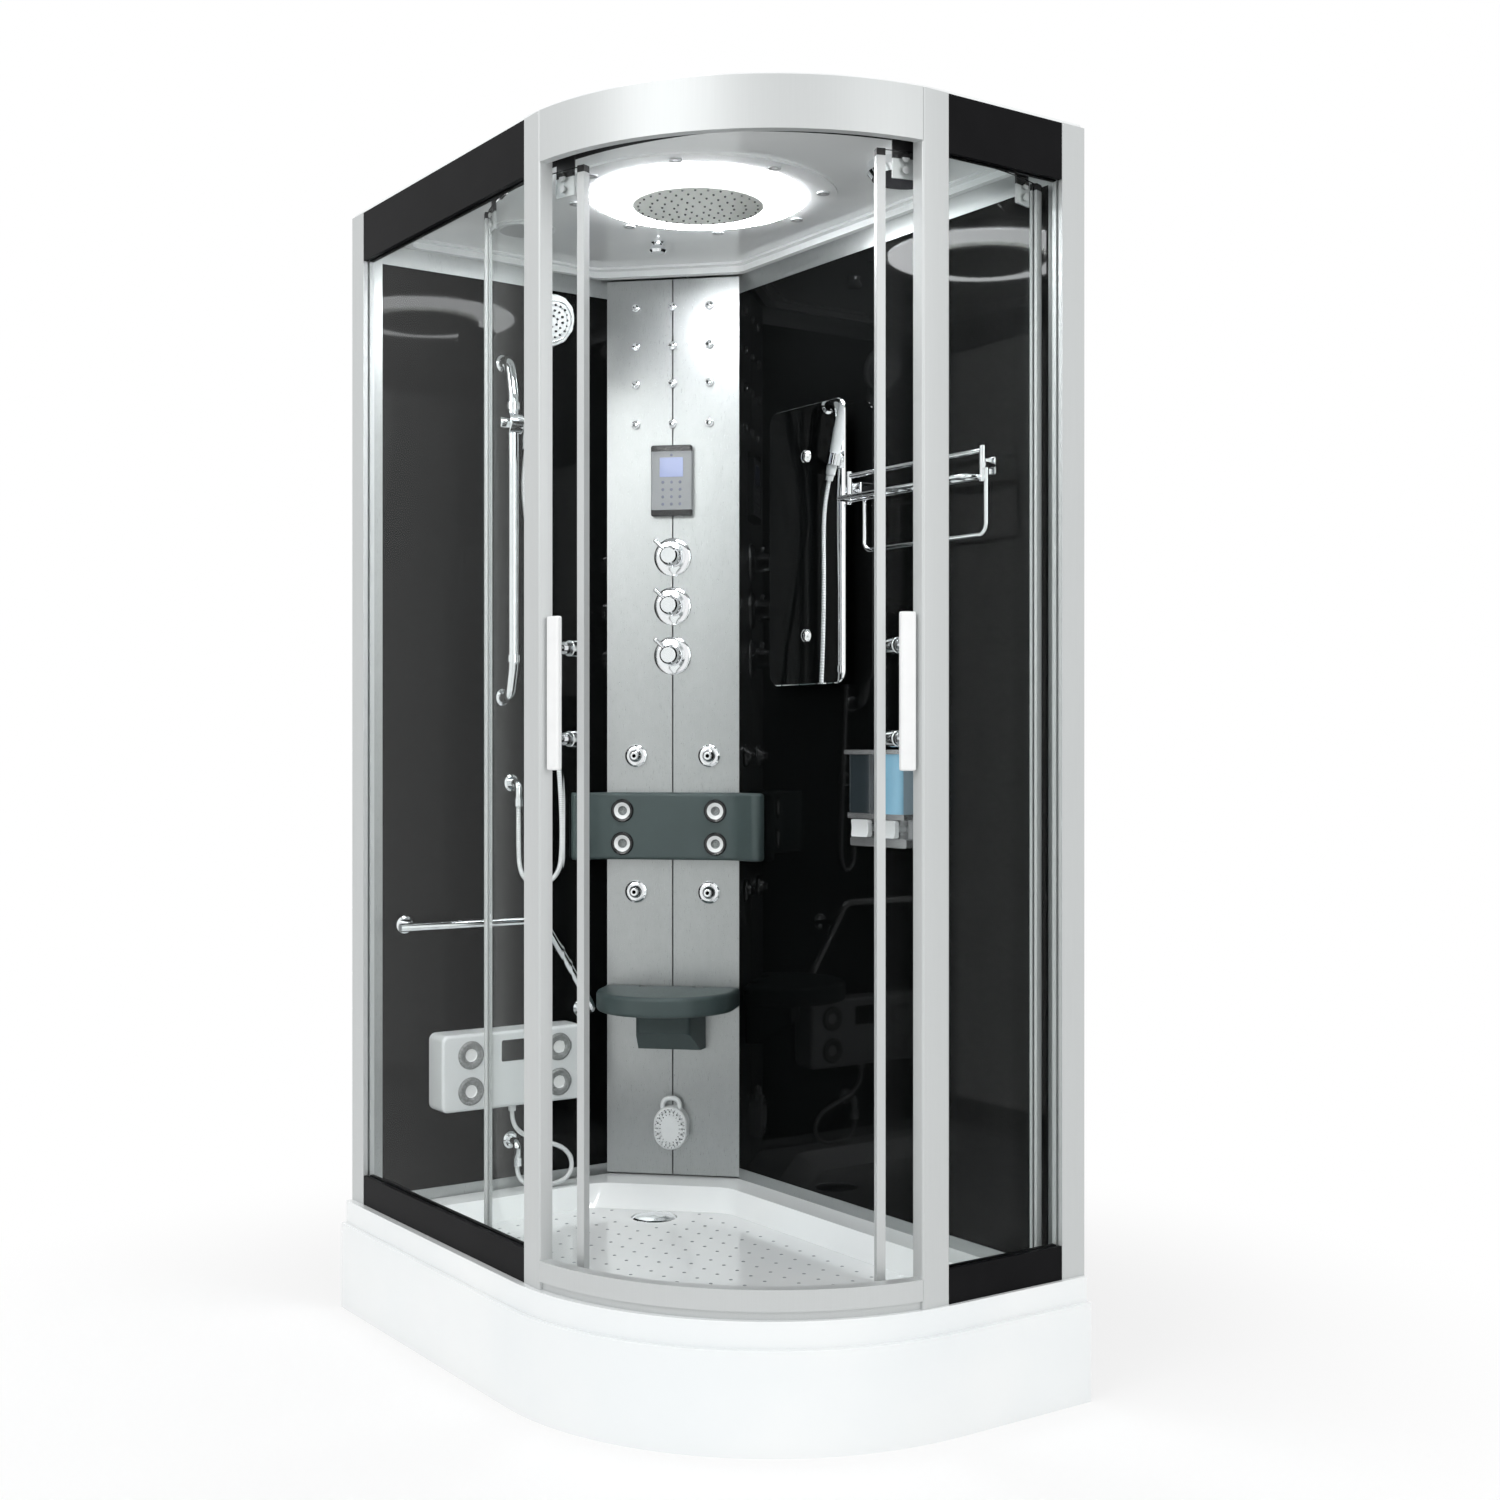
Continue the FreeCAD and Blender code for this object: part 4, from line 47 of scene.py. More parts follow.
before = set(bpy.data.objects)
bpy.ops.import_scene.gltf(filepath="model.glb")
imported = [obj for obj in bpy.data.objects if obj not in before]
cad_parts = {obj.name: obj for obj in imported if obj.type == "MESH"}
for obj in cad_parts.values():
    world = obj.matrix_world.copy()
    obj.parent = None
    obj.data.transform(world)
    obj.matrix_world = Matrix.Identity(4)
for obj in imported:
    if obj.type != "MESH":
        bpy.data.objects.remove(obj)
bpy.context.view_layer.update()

# Planes and places shared with the solids, in metres.
WALL_X = -0.565
COLUMN_X = -0.4665
COLUMN_Y = 0.2665
HALF_ROOT = math.sqrt(0.5)
WELL_X = (-0.477, 0.499)
WELL_Y = (-0.309, 0.277)
WELL_LEG = 0.2026
WELL_CORNER = 0.425
DRAIN = (-0.335, 0.140, 0.056)
DOTS_AT = (0.0330, 0.0150, 0.1499)
DOT_HEIGHT = 0.0008
DOT_EDGE = 0.016
DOT_ROWS = (25, 17)
HOLE_DEPTH = 0.0003
SPEAKER_FACE = 2.0499
SPEAKER_ROWS = (25, 25)
SPEAKER_HOLES = {"pitch": 0.0042, "width": 0.0021, "radius": 0.046}
SEAM_HALF = 0.0015
VENT_AT = (0.0, -28.0, 293.0)
VENT_SIZE = (0.0028, 0.0042, 0.0006)
VENT_OVALS = ((0.0205, 0.0295, 20), (0.0300, 0.0390, 30))
LEVEL_AXES = ((1.0, 0.0, 0.0), (0.0, 1.0, 0.0))
ARC_X = 0.0878
ARC_Y = 0.1182
GRIP_INSIDE = 0.4785
RAIN_X = 0.0
RAIN_Y = 0.024
RAIN_TIPS = 0.110
RAIN_RISE = 0.0345
RAIN_FACE = 2.0307
LAMP_RING = 0.200
LAMP_STRENGTH = 32.0
SPOT_FACE = 2.048
SATIN_METAL = 0.4
BRUSHED_METAL = 0.88
HANGER_FOOT = 1.989
SPRAY_FACE = 0.0109
SPRAY_RIM = (0.0395, 0.0013)
SPRAY_TIP = (0.00165, 0.0024, 0.0032)
SPRAY_RINGS = ((0.0105, 6), (0.0210, 12), (0.0315, 18))
SPRAY_AT = (-47.0, -147.8, 1902.0)
SPRAY_AIM = (0.0, math.radians(111.56), 0.0)
SPEAKER = (-0.369, -0.131)
SPEAKER_EDGE = -0.05
FAN_X = 0.350
FAN_Y = 0.217
FAN_THROAT = 0.0574
FAN_MOUTH = 2.0313
DISPLAY = (0.0245, 1.6275, 1.6675)
BACK_JETS = (0.097, 0.9095, 0.0335)
FOOT_JETS = (-0.075, 0.096, 0.43840, 0.0351)
FOOT_TOP = 0.7
TANKS = ((0.080, 0.155, 0.230), (0.952, 1.059), 0.3569)
HOSE_TURNS = 1800.0
SHOWER_ROUTE = [
    (-47.0, -49.7, 1663.7), (-47.0, -35.7, 1623.0), (-44.0, -33.0, 1560.0),
    (-34.0, -48.0, 1450.0), (-18.0, -66.0, 1310.0), (-2.0, -78.0, 1165.0),
    (8.0, -84.0, 1035.0), (14.0, -84.5, 940.0), (15.0, -83.0, 872.0),
    (12.0, -80.0, 826.0), (-8.0, -67.0, 801.0), (-37.0, -48.0, 800.0),
    (-57.0, -38.0, 825.0), (-57.0, -34.0, 891.0), (-57.0, -34.0, 955.0),
]
MASSAGER_ROUTE = [
    (-75.0, -40.0, 353.0), (-75.0, -40.0, 326.0), (-48.0, -43.0, 300.0),
    (-10.0, -45.0, 286.0), (26.0, -46.0, 274.0), (50.0, -46.0, 257.0),
    (60.0, -46.0, 233.0), (52.0, -46.0, 210.0), (31.0, -45.0, 198.5),
    (0.0, -44.0, 197.5), (-33.0, -41.0, 199.0), (-50.5, -37.5, 209.0),
    (-60.0, -34.0, 226.0), (-60.0, -34.0, 241.0),
]


def from_left_wall(point):
    """Left-wall millimetres (along, out, up) to metres in the row frame."""
    along, out, up = point
    return Vector((WALL_X - out / 1000, along / 1000, up / 1000))


def from_column(point):
    """Column millimetres (across, out, up) to metres in the row frame."""
    across, out, up = (value / 1000 for value in point)
    x = COLUMN_X + HALF_ROOT * (across - out)
    y = COLUMN_Y + HALF_ROOT * (across + out)
    return Vector((x, y, up))


# ---- shader maths --------------------------------------------------------
class Signal:
    """One socket of a finish, used in Python expressions."""

    def __init__(self, finish, socket):
        self.finish = finish
        self.socket = socket

    def maths(self, operation, *values):
        node = self.finish.node("ShaderNodeMath", {"operation": operation}, *values)
        return node.out(0)

    def __add__(self, other):
        return self.maths("ADD", self, other)

    def __radd__(self, other):
        return self.maths("ADD", other, self)

    def __sub__(self, other):
        return self.maths("SUBTRACT", self, other)

    def __rsub__(self, other):
        return self.maths("SUBTRACT", other, self)

    def __mul__(self, other):
        return self.maths("MULTIPLY", self, other)

    def __rmul__(self, other):
        return self.maths("MULTIPLY", other, self)

    def __gt__(self, other):
        return self.maths("GREATER_THAN", self, other)

    def __lt__(self, other):
        return self.maths("LESS_THAN", self, other)

    def root(self):
        return self.maths("SQRT", self)

    def sine(self):
        return self.maths("SINE", self)

    def size(self):
        return self.maths("ABSOLUTE", self)

    def most(self, other):
        return self.maths("MAXIMUM", self, other)

    def step(self, low, high):
        """0 below low, 1 above high, and a smooth rise between them."""
        settings = {"interpolation_type": "SMOOTHSTEP"}
        node = self.finish.node("ShaderNodeMapRange", settings)
        return node.feed(Value=self, **{"From Min": low, "From Max": high}).out(0)

    def between(self, low, high, soft):
        """1 from low to high, with edges as wide as soft."""
        return self.step(low - soft, low + soft) * (1 - self.step(high - soft, high + soft))


class Node:
    """One node of a finish with its inputs set by name or place."""

    def __init__(self, finish, node):
        self.finish = finish
        self.node = node

    def feed(self, *values, **named):
        for index, value in enumerate(values):
            self.finish.plug(self.node.inputs[index], value)
        for name, value in named.items():
            self.finish.plug(self.node.inputs[name], value)
        return self

    def out(self, name):
        return Signal(self.finish, self.node.outputs[name])


class Finish:
    """A material under construction, from a plain-words name."""

    def __init__(self, name, **sockets):
        self.material = bpy.data.materials.new(name)
        self.material.use_nodes = True
        self.tree = self.material.node_tree
        self.tree.nodes.clear()
        self.end = self.tree.nodes.new("ShaderNodeOutputMaterial")
        self.shader = self.node("ShaderNodeBsdfPrincipled", {})
        self.shader.feed(**{name.replace("_", " "): value for name, value in sockets.items()})
        self.show(self.shader.out("BSDF"))
        self.coordinates = None

    def node(self, kind, settings, *values, **named):
        made = self.tree.nodes.new(kind)
        for name, value in settings.items():
            setattr(made, name, value)
        return Node(self, made).feed(*values, **named)

    def plug(self, socket, value):
        if isinstance(value, Signal):
            self.tree.links.new(value.socket, socket)
        elif socket.type == "RGBA" and len(value) == 3:
            socket.default_value = (*value, 1.0)
        else:
            socket.default_value = value

    def show(self, surface):
        self.tree.links.new(surface.socket, self.end.inputs["Surface"])

    def place(self):
        """Object coordinates, in metres."""
        if self.coordinates is None:
            self.coordinates = self.node("ShaderNodeTexCoord", {}).out("Object")
        return self.coordinates

    def axes(self):
        """The three Object coordinates as separate values."""
        parts = self.node("ShaderNodeSeparateXYZ", {}, self.place())
        return parts.out("X"), parts.out("Y"), parts.out("Z")

    def stretched(self, scale):
        node = self.node("ShaderNodeMapping", {}, self.place())
        return node.feed(Scale=scale).out("Vector")

    def noise(self, scale, detail=2.0, stretch=(1, 1, 1), roughness=0.5):
        place = self.place() if stretch == (1, 1, 1) else self.stretched(stretch)
        node = self.node("ShaderNodeTexNoise", {})
        node.feed(Vector=place, Scale=scale, Detail=detail, Roughness=roughness)
        return node.out("Fac")

    def cells(self, scale, feature="F1", output="Distance"):
        node = self.node("ShaderNodeTexVoronoi", {"feature": feature})
        node.feed(Vector=self.place(), Scale=scale)
        return node.out(output)

    def blend(self, share, low, high):
        """Colour low where share is 0 and high where it is 1."""
        node = self.node("ShaderNodeMix", {"data_type": "RGBA"})
        self.plug(node.node.inputs["Factor"], share)
        for index, colour in ((6, low), (7, high)):
            self.plug(node.node.inputs[index], colour)
        return Signal(self, node.node.outputs[2])

    def colour(self, value):
        self.shader.feed(**{"Base Color": value})
        return self

    def rough(self, value):
        self.shader.feed(Roughness=value)
        return self

    def bump(self, height, depth, strength=1.0):
        """Raises the surface by height times depth metres."""
        node = self.node("ShaderNodeBump", {})
        node.feed(Height=height, Distance=depth, Strength=strength)
        self.shader.feed(Normal=node.out("Normal"))
        return self

    def light_passes(self):
        """Lets lamps shine through the glass."""
        ray = self.node("ShaderNodeLightPath", {}).out("Is Shadow Ray")
        clear = self.node("ShaderNodeBsdfTransparent", {}, (0.95, 0.96, 0.96)).out("BSDF")
        mix = self.node("ShaderNodeMixShader", {}, ray, self.shader.out("BSDF"), clear)
        self.show(mix.out("Shader"))
        return self


def linear(code):
    """Scene-linear colour from a six-digit screen colour."""
    shares = [int(code[i:i + 2], 16) / 255 for i in (0, 2, 4)]
    return tuple(s / 12.92 if s <= 0.04045 else ((s + 0.055) / 1.055) ** 2.4 for s in shares)


# ---- sizes and colours that a user would change ---------------------------
def colour_setting(name, description, code):
    return bpy.props.FloatVectorProperty(
        name=name, description=description, subtype="COLOR", size=3, min=0.0, max=1.0,
        default=linear(code),
    )


def length_setting(name, description, default):
    return bpy.props.FloatProperty(
        name=name, description=description, subtype="DISTANCE", unit="LENGTH", min=0.0001,
        default=default,
    )


class CabinColours(bpy.types.PropertyGroup):
    """Colours of the cabin's finishes."""

    acrylic: colour_setting("Acrylic", "Tray and roof", "F2F4F4")
    aluminium: colour_setting("Aluminium", "Uprights, header, rail and door frames", "CACDCD")
    brushed: colour_setting("Brushed aluminium", "Wall surrounds and column", "AEB1B1")
    wall: colour_setting("Wall glass", "Back-painted glass of the two walls", "050606")
    slate: colour_setting("Slate plastic", "Back massager and folding seat", "3F4B4B")
    panel: colour_setting("Control panel", "Moulded case of the control panel", "7E8183")
    display: colour_setting("Display", "Lit window of the control panel", "8690B2")
    plastic: colour_setting("Light plastic", "Foot massager, steam outlet and dispenser", "D2D5D6")
    hose: colour_setting("Hose", "Shower and massager hoses", "E4E6E7")
    # Painted shade: the grip dots' grey stands for the shading of the raised non-slip bumps.
    grip_dot_shade: colour_setting("Grip dot", "Non-slip dots on the tray floor", "8C9294")
    left_liquid: colour_setting("Left container", "Left liquid container", "2C3438")
    right_liquid: colour_setting("Right container", "Right liquid container", "7FAFC8")


class CabinSizes(bpy.types.PropertyGroup):
    """Sizes of the fine fittings."""

    dot_pitch: length_setting("Grip dot pitch", "Distance between the tray's grip dots", 0.042)
    dot_width: length_setting("Grip dot width", "Diameter of a grip dot", 0.0075)
    hose_width: length_setting("Hose diameter", "Outside diameter of the hoses", 0.0095)


class StudioSettings(bpy.types.PropertyGroup):
    """Floor and lamps."""

    floor: colour_setting("Floor", "Plain pale floor", "F4F4F4")
    key_power: bpy.props.FloatProperty(
        name="Key lamp", description="Power of the large front lamp", unit="POWER", min=0.0,
        default=52.0,
    )
    fill_power: bpy.props.FloatProperty(
        name="Fill lamp", description="Power of the side lamp", unit="POWER", min=0.0,
        default=24.0,
    )
    world_level: bpy.props.FloatProperty(
        name="Surroundings", description="Light that comes from all round", min=0.0, max=1.0,
        default=0.80,
    )


# ---- finishes -------------------------------------------------------------
def acrylic_finish(colours):
    """Glossy thermoformed acrylic with a faint waviness."""
    f = Finish("White acrylic", Roughness=0.14, Coat_Weight=0.35, Coat_Roughness=0.05)
    haze = f.noise(3.5, 3.0)
    grime = f.noise(42.0, 4.0)
    base = tuple(colours.acrylic)
    cooler = (base[0] * 0.95, base[1] * 0.965, base[2] * 0.975)
    f.colour(f.blend(haze.step(0.3, 0.75), base, cooler))
    f.rough(0.11 + grime * 0.09)
    return f.bump(f.noise(7.0, 1.0) + f.noise(160.0, 2.0) * 0.02, 0.0012, 0.35).material


def galvanised_finish():
    """Zinc-coated steel with spangle."""
    f = Finish("Galvanised steel", Metallic=0.9, Roughness=0.4)
    spangle = f.cells(85.0, output="Color")
    grey = f.node("ShaderNodeRGBToBW", {}, spangle).out(0)
    f.colour(f.blend(grey, (0.38, 0.39, 0.41), (0.62, 0.63, 0.64)))
    f.rough(0.3 + grey * 0.25)
    return f.bump(f.noise(220.0, 3.0), 0.0002, 0.5).material


def chrome_finish():
    """Bright plated brass with faint polishing marks."""
    f = Finish("Chrome", Metallic=1.0, Roughness=0.06)
    marks = f.noise(60.0, 4.0)
    f.colour(f.blend(marks, (0.80, 0.82, 0.84), (0.93, 0.94, 0.95)))
    f.rough(0.035 + marks * marks * 0.09)
    return f.material


def pipe_finish():
    """Grey waste pipe with a slightly chalky skin."""
    f = Finish("Pipe plastic", Roughness=0.42)
    chalk = f.noise(55.0, 4.0)
    f.colour(f.blend(chalk, (0.20, 0.21, 0.22), (0.31, 0.32, 0.33)))
    f.rough(0.36 + chalk * 0.2)
    return f.bump(f.noise(600.0, 2.0), 0.0002, 0.5).material


def clear_glass_finish():
    """Toughened glass, clear with a trace of green."""
    f = Finish("Clear glass", Transmission_Weight=1.0, IOR=1.08, Roughness=0.0)
    ripple = f.noise(2.2, 1.0)
    f.colour(f.blend(ripple, (0.965, 0.985, 0.978), (0.98, 0.99, 0.987)))
    return f.light_passes().material


def black_rail_finish():
    """Black anodised extrusion with fine draw lines."""
    f = Finish("Black anodised rail", Roughness=0.4, IOR=1.14)
    lines = f.noise(900.0, 2.0, (1, 1, 1))
    dust = f.noise(12.0, 3.0)
    f.colour(f.blend(dust, (0.003, 0.003, 0.0035), (0.008, 0.008, 0.009)))
    f.rough(0.36 + lines * 0.14)
    return f.bump(lines, 0.00008, 0.6).material


def satin_finish(colours, hangers=False):
    """Satin anodised aluminium with draw lines, and black hangers above the door glass."""
    name = "Door frame" if hangers else "Satin aluminium"
    f = Finish(name, Metallic=SATIN_METAL, Roughness=0.42)
    draw = f.noise(700.0, 3.0, (1, 1, 0.012))
    cloud = f.noise(2.6, 2.0)
    base = tuple(colours.aluminium)
    metal = f.blend(draw * 0.35 + cloud * 0.4, base, tuple(c * 0.86 for c in base))
    if hangers:
        x, y, z = f.axes()
        hanger = z > HANGER_FOOT
        metal = f.blend(hanger, metal, (0.008, 0.008, 0.009))
        f.shader.feed(Metallic=SATIN_METAL - hanger * SATIN_METAL)
    f.colour(metal)
    f.rough(0.38 + draw * 0.12)
    return f.bump(draw, 0.00006, 0.5).material


def brushed_finish(colours, seam=False):
    """Brushed sheet with upright strokes of uneven length, and painted shade along the column's
    seam.
    """
    f = Finish("Brushed aluminium", Metallic=BRUSHED_METAL, Roughness=0.34)
    strokes = f.noise(1400.0, 4.0, (1, 1, 0.05), 0.65)
    bands = f.noise(60.0, 4.0, (1, 1, 0.5))
    base = tuple(colours.brushed)
    light = tuple(min(1.0, c * 1.15) for c in base)
    dark = tuple(c * 0.82 for c in base)
    metal = f.blend(strokes * 0.7 + bands * 0.3, dark, light)
    if seam:
        x, y, z = f.axes()
        across = ((x - COLUMN_X) + (y - COLUMN_Y)) * HALF_ROOT
        # Painted shade: the joint between the two column panels is darkened and made non-metallic,
        # so it looks shaded.
        seam_shade = across.between(-SEAM_HALF, SEAM_HALF, 0.0003)
        metal = f.blend(seam_shade, metal, (0.05, 0.05, 0.05))
        f.shader.feed(Metallic=BRUSHED_METAL - seam_shade * BRUSHED_METAL)
    f.colour(metal)
    f.rough(0.21 + strokes * 0.18)
    return f.bump(strokes, 0.00008, 0.6).material


def handle_finish():
    """White satin grip bars on chrome studs and inner knobs."""
    f = Finish("White satin grip and chrome studs", Roughness=0.24)
    cloud = f.noise(35.0, 3.0)
    x, y, z = f.axes()
    away = ((x - ARC_X) * (x - ARC_X) + (y - ARC_Y) * (y - ARC_Y)).root()
    grip = away > GRIP_INSIDE
    white = f.blend(cloud, (0.80, 0.81, 0.81), (0.88, 0.89, 0.89))
    f.colour(f.blend(grip, (0.86, 0.87, 0.88), white))
    f.rough(0.05 + grip * 0.2 + cloud * 0.1)
    f.shader.feed(Metallic=1 - grip)
    return f.material


def wall_glass_finish(colours):
    """Back-painted glass: deep, even colour under a mirror-smooth face."""
    f = Finish("Black wall glass", Roughness=0.03, IOR=1.17)
    depth = f.noise(1.6, 2.0)
    base = tuple(colours.wall)
    f.colour(f.blend(depth, base, tuple(c + 0.003 for c in base)))
    f.rough(0.02 + f.noise(9.0, 5.0) * 0.035)
    return f.material


def lamp_finish():
    """Lit opal ring, and unlit grey spots with darker rims."""
    f = Finish("Lamp covers", Roughness=0.3, Emission_Strength=LAMP_STRENGTH)
    grain = f.noise(180.0, 2.0)
    middle = (RAIN_X, RAIN_Y, 0.0)
    ring = disc(f, middle, LEVEL_AXES, LAMP_RING)
    x, y, z = f.axes()
    rim = z < SPOT_FACE + 0.0004
    grey = f.blend(rim, (0.62, 0.64, 0.65), (0.30, 0.31, 0.32))
    f.colour(f.blend(ring, grey, f.blend(grain, (0.90, 0.91, 0.93), (0.97, 0.98, 1.0))))
    glow = f.blend(grain, (0.94, 0.96, 1.0), (1.0, 1.0, 1.0))
    f.shader.feed(**{"Emission Color": f.blend(ring, (0, 0, 0), glow)})
    return f.material


def panel_finish(colours, low, high, strip):
    """Moulded panel case with a black strip at its top and bottom."""
    f = Finish("Control panel", Roughness=0.3, Coat_Weight=0.3, Coat_Roughness=0.08)
    x, y, z = f.axes()
    ends = (z < low + strip).most(z > high - strip)
    grain = f.noise(420.0, 3.0)
    base = tuple(colours.panel)
    body = f.blend(grain, tuple(c * 0.93 for c in base), base)
    f.colour(f.blend(ends, body, (0.012, 0.012, 0.013)))
    f.rough(0.3 - ends * 0.2 + grain * 0.08)
    return f.bump(grain * (1 - ends), 0.00012, 0.5).material


def slate_finish(colours):
    """Soft-touch slate plastic with a fine leather grain."""
    f = Finish("Slate plastic", Roughness=0.5, Specular_IOR_Level=0.35)
    grain = f.cells(950.0, "SMOOTH_F1")
    cloud = f.noise(14.0, 3.0)
    base = tuple(colours.slate)
    f.colour(f.blend(cloud, tuple(c * 0.86 for c in base), tuple(c * 1.12 for c in base)))
    f.rough(0.4 + grain * 0.25)
    return f.bump(grain, 0.00022, 0.7).material


def light_plastic_finish(colours):
    """Pale moulded plastic with spark-eroded texture."""
    f = Finish("Light plastic", Roughness=0.36)
    grain = f.noise(800.0, 2.0)
    cloud = f.noise(11.0, 3.0)
    base = tuple(colours.plastic)
    f.colour(f.blend(cloud, tuple(c * 0.93 for c in base), base))
    f.rough(0.3 + grain * 0.14)
    return f.bump(grain, 0.0001, 0.6).material


def mirror_finish():
    """Silvered glass."""
    f = Finish("Mirror", Metallic=1.0, Roughness=0.0)
    f.colour(f.blend(f.noise(1.5, 1.0), (0.90, 0.92, 0.92), (0.94, 0.95, 0.95)))
    f.rough(f.noise(6.0, 4.0) * 0.012)
    return f.material


def nylon_finish():
    """White bearing nylon with turning rings."""
    f = Finish("Wheel nylon", Roughness=0.4, Subsurface_Weight=0.0)
    grain = f.noise(500.0, 2.0)
    f.colour(f.blend(grain, (0.70, 0.70, 0.68), (0.80, 0.80, 0.78)))
    f.rough(0.32 + grain * 0.16)
    return f.bump(grain, 0.0001, 0.5).material
def rain_head_finish():
    """Satin shower face with dark rubber nozzles."""
    f = Finish("Rain head", Metallic=0.2, Roughness=0.4)
    x, y, z = f.axes()
    away = ((x - RAIN_X) * (x - RAIN_X) + (y - RAIN_Y) * (y - RAIN_Y)).root()
    tips = (z < RAIN_FACE + away * RAIN_RISE) * (away < RAIN_TIPS)
    sheen = f.noise(900.0, 2.0)
    metal = f.blend(sheen, (0.90, 0.93, 0.88), (0.96, 0.98, 0.94))
    f.colour(f.blend(tips, metal, (0.09, 0.095, 0.095)))
    f.rough(0.26 + tips * 0.35 + sheen * 0.12)
    f.shader.feed(Metallic=0.2 - tips * 0.2)
    return f.material


def fitting_finish(colours):
    """Chrome knob and fan housing, and a pale loudspeaker grille."""
    f = Finish("Ceiling fittings", Roughness=0.1)
    x, y, z = f.axes()
    pale = y < SPEAKER_EDGE
    inner = disc(f, (FAN_X, FAN_Y, 0.0), LEVEL_AXES, FAN_THROAT) * (z > FAN_MOUTH)
    marks = f.noise(60.0, 4.0)
    base = tuple(colours.plastic)
    metal = f.blend(inner, f.blend(marks, (0.8, 0.82, 0.84), (0.93, 0.94, 0.95)), (0.1, 0.1, 0.11))
    f.colour(f.blend(pale, metal, f.blend(marks, tuple(c * 0.92 for c in base), base)))
    f.rough(0.05 + pale * 0.28 + marks * 0.07)
    f.shader.feed(Metallic=1 - pale.most(inner))
    return f.material


def disc(f, centre, axes, radius, soft=0.0004):
    """1 inside a round of that radius about centre, measured over two unit axes."""
    settings = {"operation": "SUBTRACT"}
    spot = f.node("ShaderNodeVectorMath", settings, f.place(), centre).out(0)
    settings = {"operation": "DOT_PRODUCT"}
    along, over = (f.node("ShaderNodeVectorMath", settings, spot, axis).out("Value")
                   for axis in axes)
    away = (along * along + over * over).root()
    return 1 - away.step(radius - soft, radius + soft)


def keys_finish(colours):
    """Lit display window with small dark touch dots under it."""
    f = Finish("Display and keys", Roughness=0.2, Coat_Weight=0.6, Coat_Roughness=0.05,
               Emission_Strength=0.04)
    x, y, z = f.axes()
    across = ((x - COLUMN_X) + (y - COLUMN_Y)) * HALF_ROOT
    half, low, high = DISPLAY
    lit = across.between(-half, half, 0.0002) * z.between(low, high, 0.0002)
    base = tuple(colours.display)
    haze = f.noise(30.0, 2.0)
    glow = f.blend(haze, tuple(c * 0.9 for c in base), base)
    f.colour(f.blend(lit, f.blend(haze, (0.10, 0.11, 0.15), (0.17, 0.18, 0.24)), glow))
    f.rough(0.24 - lit * 0.12)
    f.shader.feed(**{"Emission Color": f.blend(lit, (0, 0, 0), glow)})
    return f.material


def folded(value, middle, half):
    """Distance from the nearer of two lines, half to each side of middle."""
    return ((value - middle).size() - half).size()


def rings_finish():
    """Back jets in black, white and grey rings; foot jets in grey and white; dark window."""
    f = Finish("Massage rings", Roughness=0.3, Coat_Weight=0.3, Coat_Roughness=0.08)
    x, y, z = f.axes()
    across = ((x - COLUMN_X) + (y - COLUMN_Y)) * HALF_ROOT
    side = folded(across, 0.0, BACK_JETS[0])
    rise = folded(z, BACK_JETS[1], BACK_JETS[2])
    away = (side * side + rise * rise).root()
    grain = f.noise(500.0, 2.0)
    dimple = f.cells(300.0)
    centre = f.blend(dimple, (0.09, 0.10, 0.10), (0.26, 0.28, 0.28))
    white = f.blend(grain, (0.66, 0.67, 0.67), (0.78, 0.79, 0.79))
    black = f.blend(grain, (0.004, 0.004, 0.005), (0.010, 0.011, 0.012))
    back = f.blend(away > 0.0095, centre, f.blend(away > 0.0168, white, black))
    side = folded(y, FOOT_JETS[0], FOOT_JETS[1])
    rise = folded(z, FOOT_JETS[2], FOOT_JETS[3])
    away = (side * side + rise * rise).root()
    rough_ring = f.blend(dimple, (0.10, 0.105, 0.105), (0.30, 0.31, 0.31))
    foot = f.blend(away > 0.0125, white, rough_ring)
    pane = away > 0.030
    foot = f.blend(pane, foot, f.blend(grain, (0.008, 0.009, 0.009), (0.015, 0.016, 0.016)))
    f.colour(f.blend(z > FOOT_TOP, foot, back))
    f.rough(0.34 - pane * 0.22 + grain * 0.12)
    return f.bump(dimple, 0.0003, 0.4).material


def dispenser_finish(colours):
    """Chrome-like body, and a dark and a blue container."""
    f = Finish("Soap dispenser", Roughness=0.2, Coat_Weight=0.5, Coat_Roughness=0.05)
    x, y, z = f.axes()
    (left, middle, right), (low, high), out = TANKS
    tank = x.between(left, right, 0.0001) * z.between(low, high, 0.0001)
    tank = tank * (y < out)
    grain = f.noise(260.0, 2.0)
    metal = f.blend(grain, (0.52, 0.53, 0.54), (0.66, 0.67, 0.68))
    dark = tuple(colours.left_liquid)
    blue = tuple(colours.right_liquid)
    cloud = f.noise(18.0, 2.0)
    liquid = f.blend(x > middle, f.blend(cloud, tuple(c * 0.8 for c in dark), dark),
                     f.blend(cloud, tuple(c * 0.9 for c in blue), blue))
    f.colour(f.blend(tank, metal, liquid))
    f.rough(0.16 - tank * 0.08 + grain * 0.08)
    f.shader.feed(Metallic=0.85 - tank * 0.85)
    return f.material


def dot_finish(colours):
    """Rubbery grey dots on the acrylic; their grey is a painted shade that stands for the shading
    of the small raised bumps.
    """
    f = Finish("Grip dots", Roughness=0.45)
    grain = f.noise(900.0, 2.0)
    # Painted shade: this grey stands for the shading of the raised bumps.
    base = tuple(colours.grip_dot_shade)
    f.colour(f.blend(grain, tuple(c * 0.75 for c in base), base))
    f.rough(0.38 + grain * 0.2)
    return f.bump(grain, 0.0001, 0.5).material


def shade_finish():
    """Near-black hollow of a vent or a grille hole."""
    f = Finish("Dark hollow", Roughness=0.8)
    grain = f.noise(500.0, 2.0)
    f.colour(f.blend(grain, (0.010, 0.010, 0.011), (0.022, 0.023, 0.024)))
    return f.material


